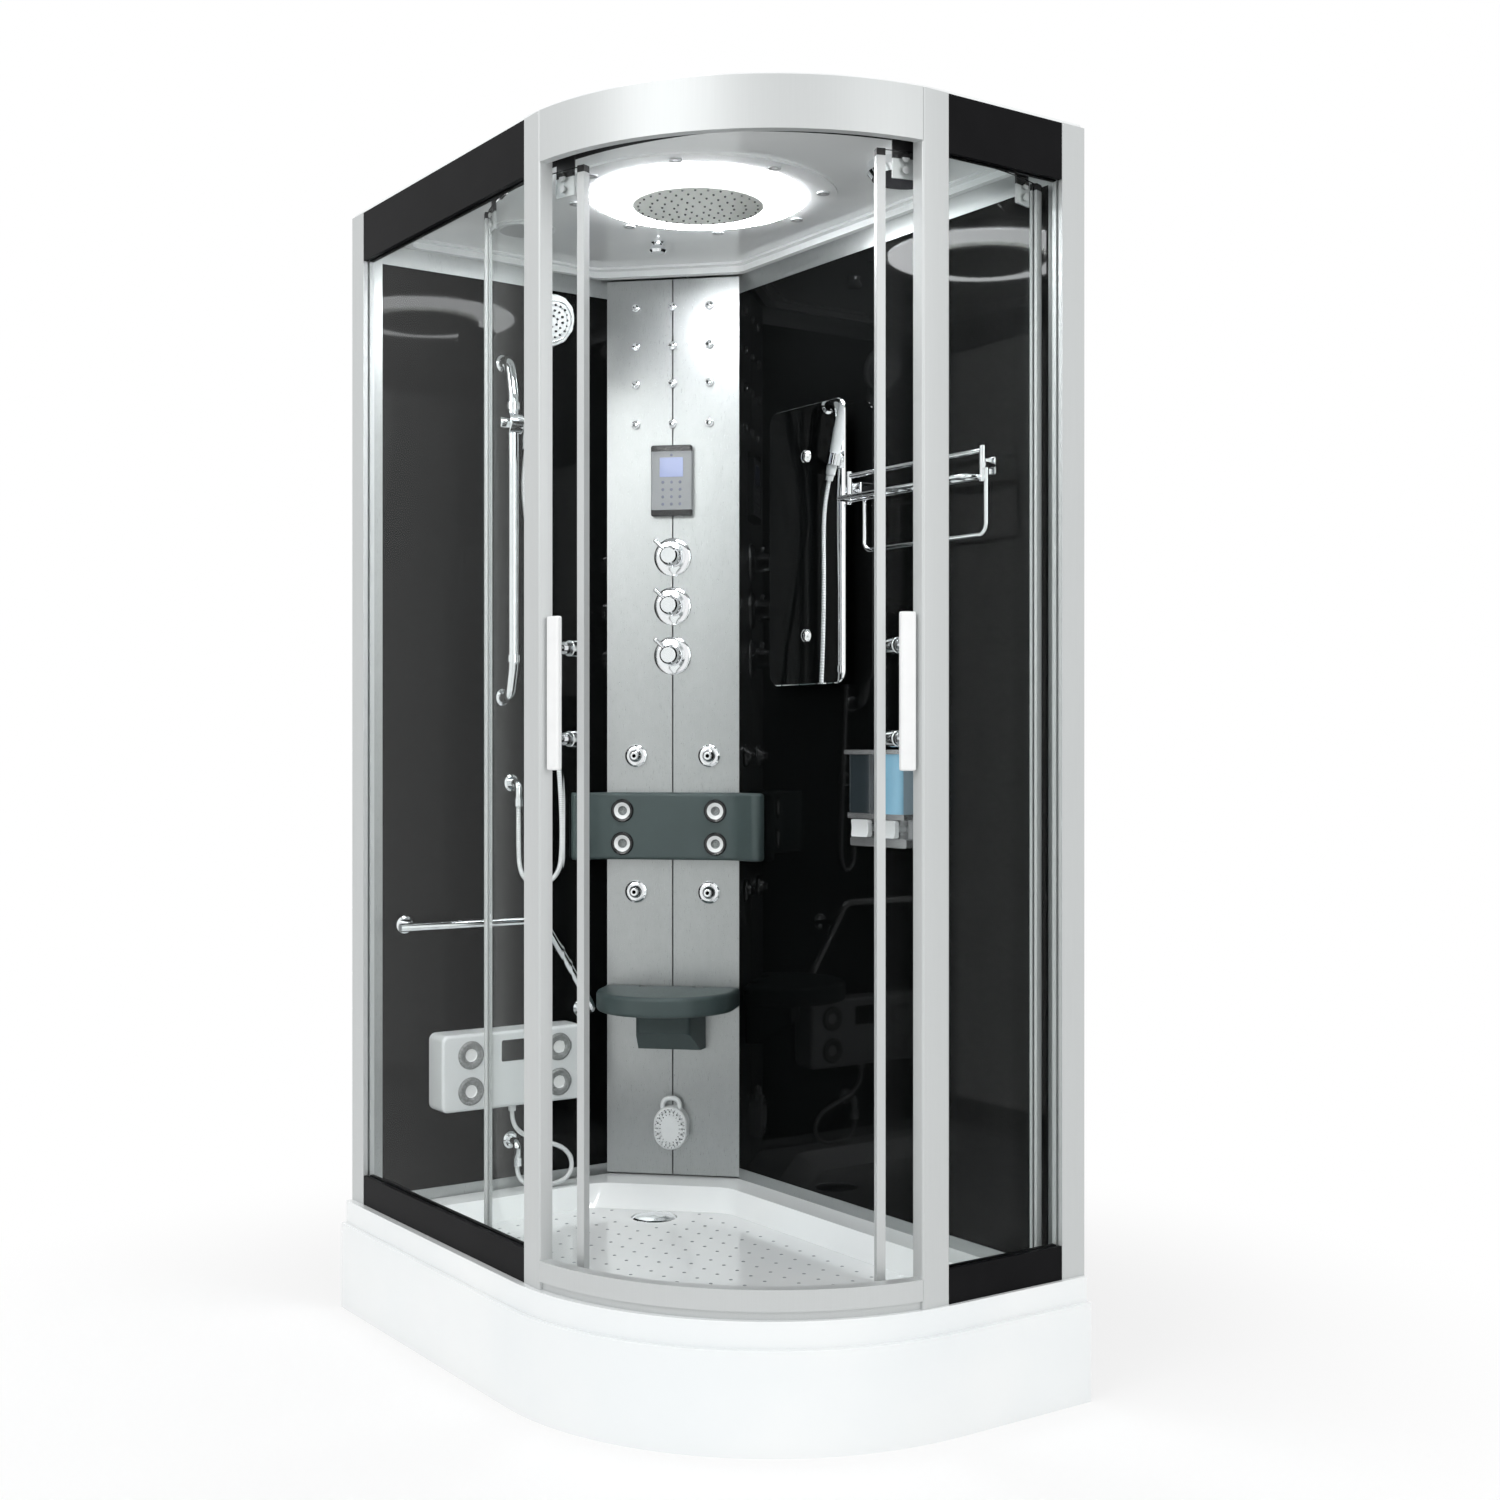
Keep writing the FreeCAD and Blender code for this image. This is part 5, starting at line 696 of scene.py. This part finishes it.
# ---- building helpers -------------------------------------------------------
class Tree:
    """Geometry Nodes tree with a mesh in, named sizes and a mesh out."""

    def __init__(self, name, sizes=()):
        self.tree = bpy.data.node_groups.new(name, "GeometryNodeTree")
        face = self.tree.interface
        face.new_socket("Geometry", in_out="INPUT", socket_type="NodeSocketGeometry")
        for size, kind in sizes:
            face.new_socket(size, in_out="INPUT", socket_type=kind)
        face.new_socket("Geometry", in_out="OUTPUT", socket_type="NodeSocketGeometry")
        self.start = self.tree.nodes.new("NodeGroupInput")
        self.end = self.tree.nodes.new("NodeGroupOutput")

    def add(self, kind, settings=None, **inputs):
        node = self.tree.nodes.new(kind)
        for name, value in (settings or {}).items():
            setattr(node, name, value)
        for name, value in inputs.items():
            by_place = name[0] == "i" and name[1:].isdigit()
            key = int(name[1:]) if by_place else name.replace("_", " ")
            socket = node.inputs[key]
            if isinstance(value, bpy.types.NodeSocket):
                self.tree.links.new(value, socket)
            else:
                socket.default_value = value
        return node

    def maths(self, operation, first, second):
        return self.add("ShaderNodeMath", {"operation": operation}, i0=first, i1=second).outputs[0]

    def length(self, across, along):
        """Length of the diagonal over two sides."""
        sides = (self.maths("MULTIPLY", side, side) for side in (across, along))
        return self.maths("POWER", self.maths("ADD", *sides), 0.5)

    def finish(self, socket):
        self.tree.links.new(socket, self.end.inputs[0])
        return self.tree


def apply_tree(piece, tree, **sizes):
    """Runs a tree on a piece and keeps the result as a plain mesh."""
    modifier = piece.modifiers.new(tree.name, "NODES")
    modifier.node_group = tree
    for item in tree.interface.items_tree:
        key = item.name.replace(" ", "_").lower()
        if item.item_type == "SOCKET" and item.in_out == "INPUT" and key in sizes:
            modifier[item.identifier] = sizes[key]
    graph = bpy.context.evaluated_depsgraph_get()
    made = bpy.data.meshes.new_from_object(piece.evaluated_get(graph))
    piece.modifiers.remove(modifier)
    piece.data = made
    return piece


def new_piece(name, mesh=None):
    piece = bpy.data.objects.new(name, mesh or bpy.data.meshes.new(name))
    bpy.context.scene.collection.objects.link(piece)
    return piece


def smooth_tree():
    """Merges a solid's loose triangles and smooths its curved faces."""
    t = Tree("Smooth curved faces", [("Crease", "NodeSocketFloat")])
    merged = t.add("GeometryNodeMergeByDistance", Geometry=t.start.outputs["Geometry"],
                   Distance=0.000002)
    faces = t.add("GeometryNodeSetShadeSmooth", {"domain": "FACE"},
                  Geometry=merged.outputs["Geometry"])
    angle = t.add("GeometryNodeInputMeshEdgeAngle")
    sharp = t.add("FunctionNodeCompare", {"data_type": "FLOAT", "operation": "GREATER_THAN"},
                  i0=angle.outputs["Unsigned Angle"], i1=t.start.outputs["Crease"])
    edges = t.add("GeometryNodeSetShadeSmooth", {"domain": "EDGE"},
                  Geometry=faces.outputs["Geometry"], Selection=sharp.outputs["Result"])
    edges.inputs["Shade Smooth"].default_value = False
    return t.finish(edges.outputs["Geometry"])


SMOOTH = smooth_tree()


def dress(node, material, crease=32.0):
    """Gives a solid its finish and smooths its curved faces."""
    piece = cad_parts[node]
    if not piece.material_slots:
        piece.data.materials.append(material)
    for holder in piece.material_slots:
        holder.link = "OBJECT"
        holder.material = material
    modifier = piece.modifiers.new("Smooth curved faces", "NODES")
    modifier.node_group = SMOOTH
    for item in SMOOTH.interface.items_tree:
        if item.item_type == "SOCKET" and item.name == "Crease":
            modifier[item.identifier] = math.radians(crease)


def hose_finish(colours):
    """White hose with a wound spiral under a clear skin."""
    f = Finish("White hose", Roughness=0.25, Coat_Weight=0.5, Coat_Roughness=0.08)
    u = f.node("ShaderNodeSeparateXYZ", {}, f.node("ShaderNodeTexCoord", {}).out("UV")).out("X")
    wave = (u * HOSE_TURNS).sine() * 0.5 + 0.5
    base = tuple(colours.hose)
    f.colour(f.blend(wave, tuple(c * 0.72 for c in base), base))
    f.rough(0.2 + f.noise(90.0, 2.0) * 0.12)
    return f.bump(wave, 0.0004, 0.6).material


def make_hose(name, points, width, material):
    """Free hose on a smooth curve through the route of its solid."""
    data = bpy.data.curves.new(name, "CURVE")
    data.dimensions = "3D"
    data.bevel_depth = width / 2
    data.bevel_resolution = 4
    data.resolution_u = 8
    data.use_fill_caps = True
    line = data.splines.new("NURBS")
    line.points.add(len(points) - 1)
    for spot, point in zip(line.points, points):
        spot.co = (*point, 1.0)
    line.order_u = 3
    line.use_endpoint_u = True
    data.materials.append(material)
    piece = bpy.data.objects.new(name, data)
    bpy.context.scene.collection.objects.link(piece)
    return piece


def centreline(piece):
    """Points along the middle of a hose, close together, in metres."""
    data = piece.data.copy()
    data.bevel_depth = 0.0
    line = bpy.data.objects.new("length of line", data)
    bpy.context.scene.collection.objects.link(line)
    graph = bpy.context.evaluated_depsgraph_get()
    mesh = bpy.data.meshes.new_from_object(line.evaluated_get(graph))
    spots = [v.co.copy() for v in mesh.vertices]
    bpy.data.objects.remove(line)
    bpy.data.meshes.remove(mesh)
    return spots


def path_length(spots):
    return sum((b - a).length for a, b in zip(spots, spots[1:]))


def as_mesh(piece):
    """Turns a curve piece into a plain mesh piece of the same name."""
    graph = bpy.context.evaluated_depsgraph_get()
    mesh = bpy.data.meshes.new_from_object(piece.evaluated_get(graph))
    name = piece.name
    bpy.data.objects.remove(piece)
    mesh.shade_smooth()
    return new_piece(name, mesh)


# ---- repeated small pieces ---------------------------------------------------
def field_tree(name, sizes, columns, rows):
    """Tree with a level grid of points, columns by rows, a pitch apart."""
    t = Tree(name, [("Pitch", "NodeSocketFloat"), ("Width", "NodeSocketFloat"),
                    ("Middle", "NodeSocketVector"), ("Finish", "NodeSocketMaterial"), *sizes])
    pitch = t.start.outputs["Pitch"]
    spans = [t.maths("MULTIPLY", pitch, float(count - 1)) for count in (columns, rows)]
    grid = t.add("GeometryNodeMeshGrid", i0=spans[0], i1=spans[1], i2=columns, i3=rows)
    placed = t.add("GeometryNodeTransform", Geometry=grid.outputs["Mesh"],
                   Translation=t.start.outputs["Middle"])
    return t, placed.outputs["Geometry"]


def dotted(t, points, outside, shape):
    """Deletes the points outside, and puts a shape on each of the others."""
    kept = t.add("GeometryNodeDeleteGeometry", {"domain": "POINT"}, Geometry=points,
                 Selection=outside)
    dots = t.add("GeometryNodeInstanceOnPoints", Points=kept.outputs["Geometry"], Instance=shape)
    real = t.add("GeometryNodeRealizeInstances", Geometry=dots.outputs["Instances"])
    done = t.add("GeometryNodeSetMaterial", Geometry=real.outputs["Geometry"],
                 Material=t.start.outputs["Finish"])
    return t.finish(done.outputs["Geometry"])


def grip_dot_tree():
    """Low studs in rows over the sunken floor, clear of its edges and the drain."""
    t, points = field_tree("Grip dots", [("Edge", "NodeSocketFloat")], *DOT_ROWS)
    spot = t.add("GeometryNodeInputPosition").outputs["Position"]
    axes = t.add("ShaderNodeSeparateXYZ", Vector=spot)
    x, y = axes.outputs["X"], axes.outputs["Y"]
    edge = t.start.outputs["Edge"]
    (left, right), (front, back) = WELL_X, WELL_Y
    gaps = [t.maths("SUBTRACT", x, left), t.maths("SUBTRACT", right, x),
            t.maths("SUBTRACT", y, front), t.maths("SUBTRACT", back, y)]
    to_column = t.maths("SUBTRACT", t.maths("ADD", gaps[0], gaps[3]), WELL_LEG)
    gaps.append(t.maths("MULTIPLY", to_column, HALF_ROOT))
    across = t.maths("MAXIMUM", t.maths("SUBTRACT", x, right - WELL_CORNER), 0.0)
    along = t.maths("MAXIMUM", t.maths("SUBTRACT", front + WELL_CORNER, y), 0.0)
    gaps.append(t.maths("SUBTRACT", WELL_CORNER, t.length(across, along)))
    away = t.length(t.maths("SUBTRACT", x, DRAIN[0]), t.maths("SUBTRACT", y, DRAIN[1]))
    gaps.append(t.maths("SUBTRACT", away, DRAIN[2]))
    least = gaps[0]
    for gap in gaps[1:]:
        least = t.maths("MINIMUM", least, gap)
    outside = t.add("FunctionNodeCompare", {"data_type": "FLOAT", "operation": "LESS_THAN"},
                    i0=least, i1=edge).outputs["Result"]
    wide = t.maths("MULTIPLY", t.start.outputs["Width"], 0.5)
    narrow = t.maths("MULTIPLY", wide, 0.62)
    stud = t.add("GeometryNodeMeshCone", i0=14, i3=narrow, i4=wide, i5=DOT_HEIGHT)
    return dotted(t, points, outside, stud.outputs["Mesh"])


def speaker_tree():
    """Round field of small dark holes for the loudspeaker grille."""
    t, points = field_tree("Speaker holes", [("Radius", "NodeSocketFloat")], *SPEAKER_ROWS)
    spot = t.add("GeometryNodeInputPosition").outputs["Position"]
    away = t.add("ShaderNodeVectorMath", {"operation": "DISTANCE"}, i0=spot,
                 i1=t.start.outputs["Middle"]).outputs["Value"]
    outside = t.add("FunctionNodeCompare", {"data_type": "FLOAT", "operation": "GREATER_THAN"},
                    i0=away, i1=t.start.outputs["Radius"]).outputs["Result"]
    wide = t.maths("MULTIPLY", t.start.outputs["Width"], 0.5)
    hole = t.add("GeometryNodeMeshCylinder", i0=10, i3=wide, i4=HOLE_DEPTH)
    return dotted(t, points, outside, hole.outputs["Mesh"])


def vent_tree():
    """Slots on an oval, each turned to follow it, facing along +Z."""
    t = Tree("Oval of vents", [("Half width", "NodeSocketFloat"),
                               ("Half height", "NodeSocketFloat"),
                               ("Slots", "NodeSocketInt"), ("Size", "NodeSocketVector"),
                               ("Turn", "NodeSocketVector"), ("Middle", "NodeSocketVector"),
                               ("Finish", "NodeSocketMaterial")])
    oval = t.add("GeometryNodeCurvePrimitiveCircle", Radius=1.0, Resolution=64)
    scale = t.add("ShaderNodeCombineXYZ", X=t.start.outputs["Half width"],
                  Y=t.start.outputs["Half height"], Z=1.0)
    oval = t.add("GeometryNodeTransform", Geometry=oval.outputs["Curve"], Scale=scale.outputs[0])
    points = t.add("GeometryNodeCurveToPoints", {"mode": "COUNT"}, Curve=oval.outputs["Geometry"],
                   Count=t.start.outputs["Slots"])
    slot = t.add("GeometryNodeMeshCube", Size=t.start.outputs["Size"])
    dots = t.add("GeometryNodeInstanceOnPoints", Points=points.outputs["Points"],
                 Instance=slot.outputs["Mesh"], Rotation=points.outputs["Rotation"])
    real = t.add("GeometryNodeRealizeInstances", Geometry=dots.outputs["Instances"])
    placed = t.add("GeometryNodeTransform", Geometry=real.outputs["Geometry"],
                   Rotation=t.start.outputs["Turn"], Translation=t.start.outputs["Middle"])
    done = t.add("GeometryNodeSetMaterial", Geometry=placed.outputs["Geometry"],
                 Material=t.start.outputs["Finish"])
    return t.finish(done.outputs["Geometry"])


def spray_tree():
    """Rubber nozzles on rings, inside a chromed rim, facing along +Z."""
    t = Tree("Spray face", [("Turn", "NodeSocketVector"), ("Middle", "NodeSocketVector"),
                            ("Rubber", "NodeSocketMaterial"), ("Rim", "NodeSocketMaterial")])
    join = t.add("GeometryNodeJoinGeometry")
    for radius, count in SPRAY_RINGS:
        ring = t.add("GeometryNodeMeshCircle", Radius=radius, Vertices=count)
        t.tree.links.new(ring.outputs["Mesh"], join.inputs[0])
    top, foot, high = SPRAY_TIP
    tip = t.add("GeometryNodeMeshCone", i0=12, i3=top, i4=foot, i5=high)
    tips = t.add("GeometryNodeInstanceOnPoints", Points=join.outputs[0],
                 Instance=tip.outputs["Mesh"])
    tips = t.add("GeometryNodeRealizeInstances", Geometry=tips.outputs["Instances"])
    tips = t.add("GeometryNodeSetMaterial", Geometry=tips.outputs["Geometry"],
                 Material=t.start.outputs["Rubber"])
    reach, thick = SPRAY_RIM
    path = t.add("GeometryNodeCurvePrimitiveCircle", Radius=reach, Resolution=48)
    section = t.add("GeometryNodeCurvePrimitiveCircle", Radius=thick, Resolution=8)
    rim = t.add("GeometryNodeCurveToMesh", i0=path.outputs["Curve"], i1=section.outputs["Curve"])
    rim = t.add("GeometryNodeSetMaterial", Geometry=rim.outputs["Mesh"],
                Material=t.start.outputs["Rim"])
    both = t.add("GeometryNodeJoinGeometry")
    for part in (tips, rim):
        t.tree.links.new(part.outputs["Geometry"], both.inputs[0])
    placed = t.add("GeometryNodeTransform", Geometry=both.outputs[0],
                   Rotation=t.start.outputs["Turn"], Translation=t.start.outputs["Middle"])
    return t.finish(placed.outputs["Geometry"])


def grown(name, tree, body, slot, **sizes):
    """Piece that a tree grows from nothing, on its body; the slot argument is not used."""
    piece = apply_tree(new_piece(name), tree, **sizes)
    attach(piece, body)
    return piece


class CABIN_OT_grip_dots(bpy.types.Operator):
    """Make the tray's non-slip dots"""

    bl_idname = "cabin.grip_dots"
    bl_label = "Grip dots"

    def execute(self, context):
        sizes = context.scene.cabin_sizes
        grown("tray_grip_dots", grip_dot_tree(), "cabin", "white_acrylic", pitch=sizes.dot_pitch,
              width=sizes.dot_width, edge=DOT_EDGE, middle=DOTS_AT,
              finish=dot_finish(context.scene.cabin_colours))
        return {"FINISHED"}


class CABIN_OT_vents(bpy.types.Operator):
    """Make the steam outlet's vents and the loudspeaker's grille"""

    bl_idname = "cabin.vents"
    bl_label = "Vents and grille"

    def execute(self, context):
        dark = shade_finish()
        tree = vent_tree()
        turn = (math.radians(90), 0.0, math.radians(45))
        for index, (wide, high, slots) in enumerate(VENT_OVALS):
            grown(f"outlet_vents_{index + 1}", tree, "cabin", "light_plastic", half_width=wide,
                  half_height=high, slots=slots, size=VENT_SIZE, turn=turn,
                  middle=from_column(VENT_AT), finish=dark)
        x, y = SPEAKER
        grown("speaker_holes", speaker_tree(), "cabin", "light_plastic", finish=dark,
              middle=(x, y, SPEAKER_FACE), **SPEAKER_HOLES)
        return {"FINISHED"}


class CABIN_OT_spray_face(bpy.types.Operator):
    """Make the hand shower's rubber nozzles and chromed rim"""

    bl_idname = "cabin.spray_face"
    bl_label = "Spray face"

    def execute(self, context):
        aim = Vector((math.sin(SPRAY_AIM[1]), 0.0, math.cos(SPRAY_AIM[1])))
        grown("handset_spray_face", spray_tree(), "handset", "light_plastic", turn=SPRAY_AIM,
              middle=from_left_wall(SPRAY_AT) + aim * SPRAY_FACE, rubber=shade_finish(),
              rim=chrome_finish())
        return {"FINISHED"}


# ---- operators --------------------------------------------------------------
class CABIN_OT_tray_and_roof(bpy.types.Operator):
    """Finish the moulded tray and roof"""

    bl_idname = "cabin.tray_and_roof"
    bl_label = "Tray and roof"

    def execute(self, context):
        white = acrylic_finish(context.scene.cabin_colours)
        for node in ("tray_basin", "tray_skirt", "roof_shell"):
            dress(node, white)
        dress("tray_frame", galvanised_finish())
        pipe = pipe_finish()
        for node in ("drain_trap", "fan_rotor", "steam_and_water_supply"):
            dress(node, pipe)
        return {"FINISHED"}


class CABIN_OT_metal_frame(bpy.types.Operator):
    """Finish the uprights, header, rail, doors and wall surrounds"""

    bl_idname = "cabin.metal_frame"
    bl_label = "Metal frame"

    def execute(self, context):
        colours = context.scene.cabin_colours
        satin = satin_finish(colours)
        for node in ("upright_profiles", "header_cover", "bottom_rail"):
            dress(node, satin)
        stiles = satin_finish(colours, hangers=True)
        for node in ("front_door_frame", "side_door_frame"):
            dress(node, stiles)
        black = black_rail_finish()
        for node in ("glass_bars", "door_tracks"):
            dress(node, black)
        dress("wall_frames", brushed_finish(colours))
        dress("column_panels", brushed_finish(colours, seam=True))
        handles = handle_finish()
        for node in ("front_door_handle", "side_door_handle"):
            dress(node, handles)
        nylon = nylon_finish()
        for door in ("front", "side"):
            for place in ("rear", "lead"):
                dress(f"{door}_door_{place}_wheel", nylon)
        return {"FINISHED"}


class CABIN_OT_glass(bpy.types.Operator):
    """Finish the clear panes, the wall glass and the mirror"""

    bl_idname = "cabin.glass"
    bl_label = "Glass and mirror"

    def execute(self, context):
        clear = clear_glass_finish()
        for node in ("fixed_glass", "front_door_glass", "side_door_glass"):
            dress(node, clear)
        dress("wall_glass", wall_glass_finish(context.scene.cabin_colours))
        dress("wall_mirror", mirror_finish())
        return {"FINISHED"}


class CABIN_OT_fittings(bpy.types.Operator):
    """Finish the chrome, lamps, panel, seat and dispenser"""

    bl_idname = "cabin.fittings"
    bl_label = "Fittings"

    def execute(self, context):
        colours = context.scene.cabin_colours
        chrome = chrome_finish()
        for node in ("drain_cover", "column_flanges", "micro_nozzles", "riser_bar",
                     "shower_slider", "handset_holder", "hose_elbows", "grab_bar", "towel_rack",
                     "control_knob_upper", "control_knob_middle", "control_knob_lower",
                     "body_jet_upper_left", "body_jet_upper_right", "body_jet_lower_left",
                     "body_jet_lower_right"):
            dress(node, chrome)
        dress("ceiling_lights", lamp_finish())
        dress("rain_head", rain_head_finish())
        dress("ceiling_fittings", fitting_finish(colours))
        low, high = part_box("control_panel")
        dress("control_panel", panel_finish(colours, low[2], high[2], 0.013))
        dress("control_keys", keys_finish(colours))
        slate = slate_finish(colours)
        for node in ("back_massager", "folding_seat", "seat_bracket"):
            dress(node, slate)
        dress("massage_rings", rings_finish())
        plastic = light_plastic_finish(colours)
        for node in ("steam_outlet", "foot_massager", "handset", "soap_lever_left",
                     "soap_lever_right"):
            dress(node, plastic)
        dress("soap_dispenser", dispenser_finish(colours))
        return {"FINISHED"}


class CABIN_OT_hoses(bpy.types.Operator):
    """Make the shower hose and the massager hose"""

    bl_idname = "cabin.hoses"
    bl_label = "Hoses"

    def execute(self, context):
        width = context.scene.cabin_sizes.hose_width
        material = hose_finish(context.scene.cabin_colours)
        shower = [from_left_wall(p) for p in reversed(SHOWER_ROUTE)]
        hose = make_hose("shower_hose_line", shower, width, material)
        spots = centreline(hose)
        hose = as_mesh(hose)
        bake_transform(hose)
        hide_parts("shower_hose")
        massager = [from_left_wall(p) for p in reversed(MASSAGER_ROUTE)]
        hose = make_hose("massager_hose_line", massager, width, material)
        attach(hose, "cabin")
        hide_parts("massager_hose")
        path_length(centreline(hose))
        return {"FINISHED"}


class CABIN_OT_stage(bpy.types.Operator):
    """Set the camera, lamps, surroundings and floor"""

    bl_idname = "cabin.stage"
    bl_label = "Studio"

    def execute(self, context):
        studio = context.scene.cabin_studio
        camera_data = bpy.data.cameras.new("Camera")
        camera_data.lens = CAMERA_LENS
        camera_data.sensor_width = 36.0
        camera_data.shift_y = CAMERA_SHIFT
        camera_data.clip_end = 100.0
        camera = bpy.data.objects.new("Camera", camera_data)
        camera.location = CAMERA_AT
        camera.rotation_euler = (math.radians(90), 0, math.radians(CAMERA_TURN))
        context.scene.collection.objects.link(camera)
        context.scene.camera = camera
        set_surroundings(studio.world_level)
        for name, power, size, at, target in LAMPS:
            lamp_data = bpy.data.lights.new(name, "AREA")
            lamp_data.shape = "RECTANGLE"
            lamp_data.size, lamp_data.size_y = size
            lamp_data.energy = getattr(studio, power)
            lamp = bpy.data.objects.new(name, lamp_data)
            lamp.location = at
            lamp.rotation_euler = (Vector(target) - Vector(at)).to_track_quat("-Z", "Y").to_euler()
            context.scene.collection.objects.link(lamp)
        floor = new_piece("Studio_floor")
        shape = bmesh.new()
        bmesh.ops.create_grid(shape, x_segments=8, y_segments=8, size=30.0)
        shape.to_mesh(floor.data)
        shape.free()
        floor.data.materials.append(floor_finish(tuple(studio.floor)))
        context.scene.view_settings.view_transform = "Standard"
        return {"FINISHED"}


CAMERA_LENS = 45.50
CAMERA_SHIFT = 0.0013
CAMERA_AT = (2.8306, -1.82805, 1.0631)
CAMERA_TURN = 55.24
# name, power setting, size, place, aimed at
LAMPS = (
    ("Key lamp", "key_power", (2.6, 2.2), (1.2, -3.6, 3.3), (0.0, 0.0, 0.9)),
    ("Fill lamp", "fill_power", (2.0, 2.4), (3.9, 0.6, 2.2), (0.0, 0.0, 1.0)),
)


def set_surroundings(level):
    """Pale surroundings that show as white behind and in glass and metal."""
    world = bpy.data.worlds.new("Surroundings")
    bpy.context.scene.world = world
    world.use_nodes = True
    tree = world.node_tree
    tree.nodes.clear()
    end = tree.nodes.new("ShaderNodeOutputWorld")
    light = tree.nodes.new("ShaderNodeBackground")
    seen = tree.nodes.new("ShaderNodeBackground")
    light.inputs["Color"].default_value = (1.0, 1.0, 1.0, 1.0)
    light.inputs["Strength"].default_value = level
    seen.inputs["Color"].default_value = (1.0, 1.0, 1.0, 1.0)
    seen.inputs["Strength"].default_value = 1.0
    rays = tree.nodes.new("ShaderNodeLightPath")
    share = rays.outputs["Is Camera Ray"]
    for name in ("Is Glossy Ray", "Is Transmission Ray"):
        most = tree.nodes.new("ShaderNodeMath")
        most.operation = "MAXIMUM"
        tree.links.new(share, most.inputs[0])
        tree.links.new(rays.outputs[name], most.inputs[1])
        share = most.outputs[0]
    mix = tree.nodes.new("ShaderNodeMixShader")
    tree.links.new(share, mix.inputs[0])
    tree.links.new(light.outputs[0], mix.inputs[1])
    tree.links.new(seen.outputs[0], mix.inputs[2])
    tree.links.new(mix.outputs[0], end.inputs["Surface"])


def floor_finish(colour):
    """Plain pale floor that keeps the cabin's shadow and fades to white."""
    f = Finish("Studio floor", Roughness=0.8)
    f.colour(f.blend(f.noise(0.6, 2.0), tuple(c * 0.985 for c in colour), colour))
    x, y, z = f.axes()
    far = (x * x + y * y).root().step(0.8, 1.7)
    rays = f.node("ShaderNodeLightPath", {})
    seen = rays.out("Is Camera Ray").most(rays.out("Is Glossy Ray"))
    seen = seen.most(rays.out("Is Transmission Ray"))
    white = f.node("ShaderNodeEmission", {}, (1.0, 1.0, 1.0), 1.0).out("Emission")
    share = (0.68 + far * 0.32) * seen
    mix = f.node("ShaderNodeMixShader", {}, share, f.shader.out("BSDF"), white)
    f.show(mix.out("Shader"))
    return f.material


class CABIN_PT_panel(bpy.types.Panel):
    """Lists the cabin's settings and steps"""

    bl_label = "Steam shower cabin"
    bl_idname = "CABIN_PT_panel"
    bl_space_type = "VIEW_3D"
    bl_region_type = "UI"
    bl_category = "Cabin"

    def draw(self, context):
        layout = self.layout
        for group in ("cabin_colours", "cabin_sizes", "cabin_studio"):
            box = layout.box()
            settings = getattr(context.scene, group)
            for name in settings.__annotations__:
                box.prop(settings, name)
        for step in STEPS:
            layout.operator(step.bl_idname)


STEPS = (
    CABIN_OT_stage, CABIN_OT_hoses, CABIN_OT_tray_and_roof, CABIN_OT_metal_frame, CABIN_OT_glass,
    CABIN_OT_fittings, CABIN_OT_grip_dots, CABIN_OT_vents, CABIN_OT_spray_face,
)
GROUPS = (
    ("cabin_colours", CabinColours), ("cabin_sizes", CabinSizes), ("cabin_studio", StudioSettings),
)


def register():
    for _, group in GROUPS:
        bpy.utils.register_class(group)
    for step in STEPS:
        bpy.utils.register_class(step)
    bpy.utils.register_class(CABIN_PT_panel)
    for name, group in GROUPS:
        setattr(bpy.types.Scene, name, bpy.props.PointerProperty(type=group))


def unregister():
    for name, _ in GROUPS:
        delattr(bpy.types.Scene, name)
    for kind in (CABIN_PT_panel, *reversed(STEPS), *(group for _, group in reversed(GROUPS))):
        bpy.utils.unregister_class(kind)


def main():
    register()
    for step in STEPS:
        area, name = step.bl_idname.split(".")
        getattr(getattr(bpy.ops, area), name)()


if __name__ == "__main__":
    main()
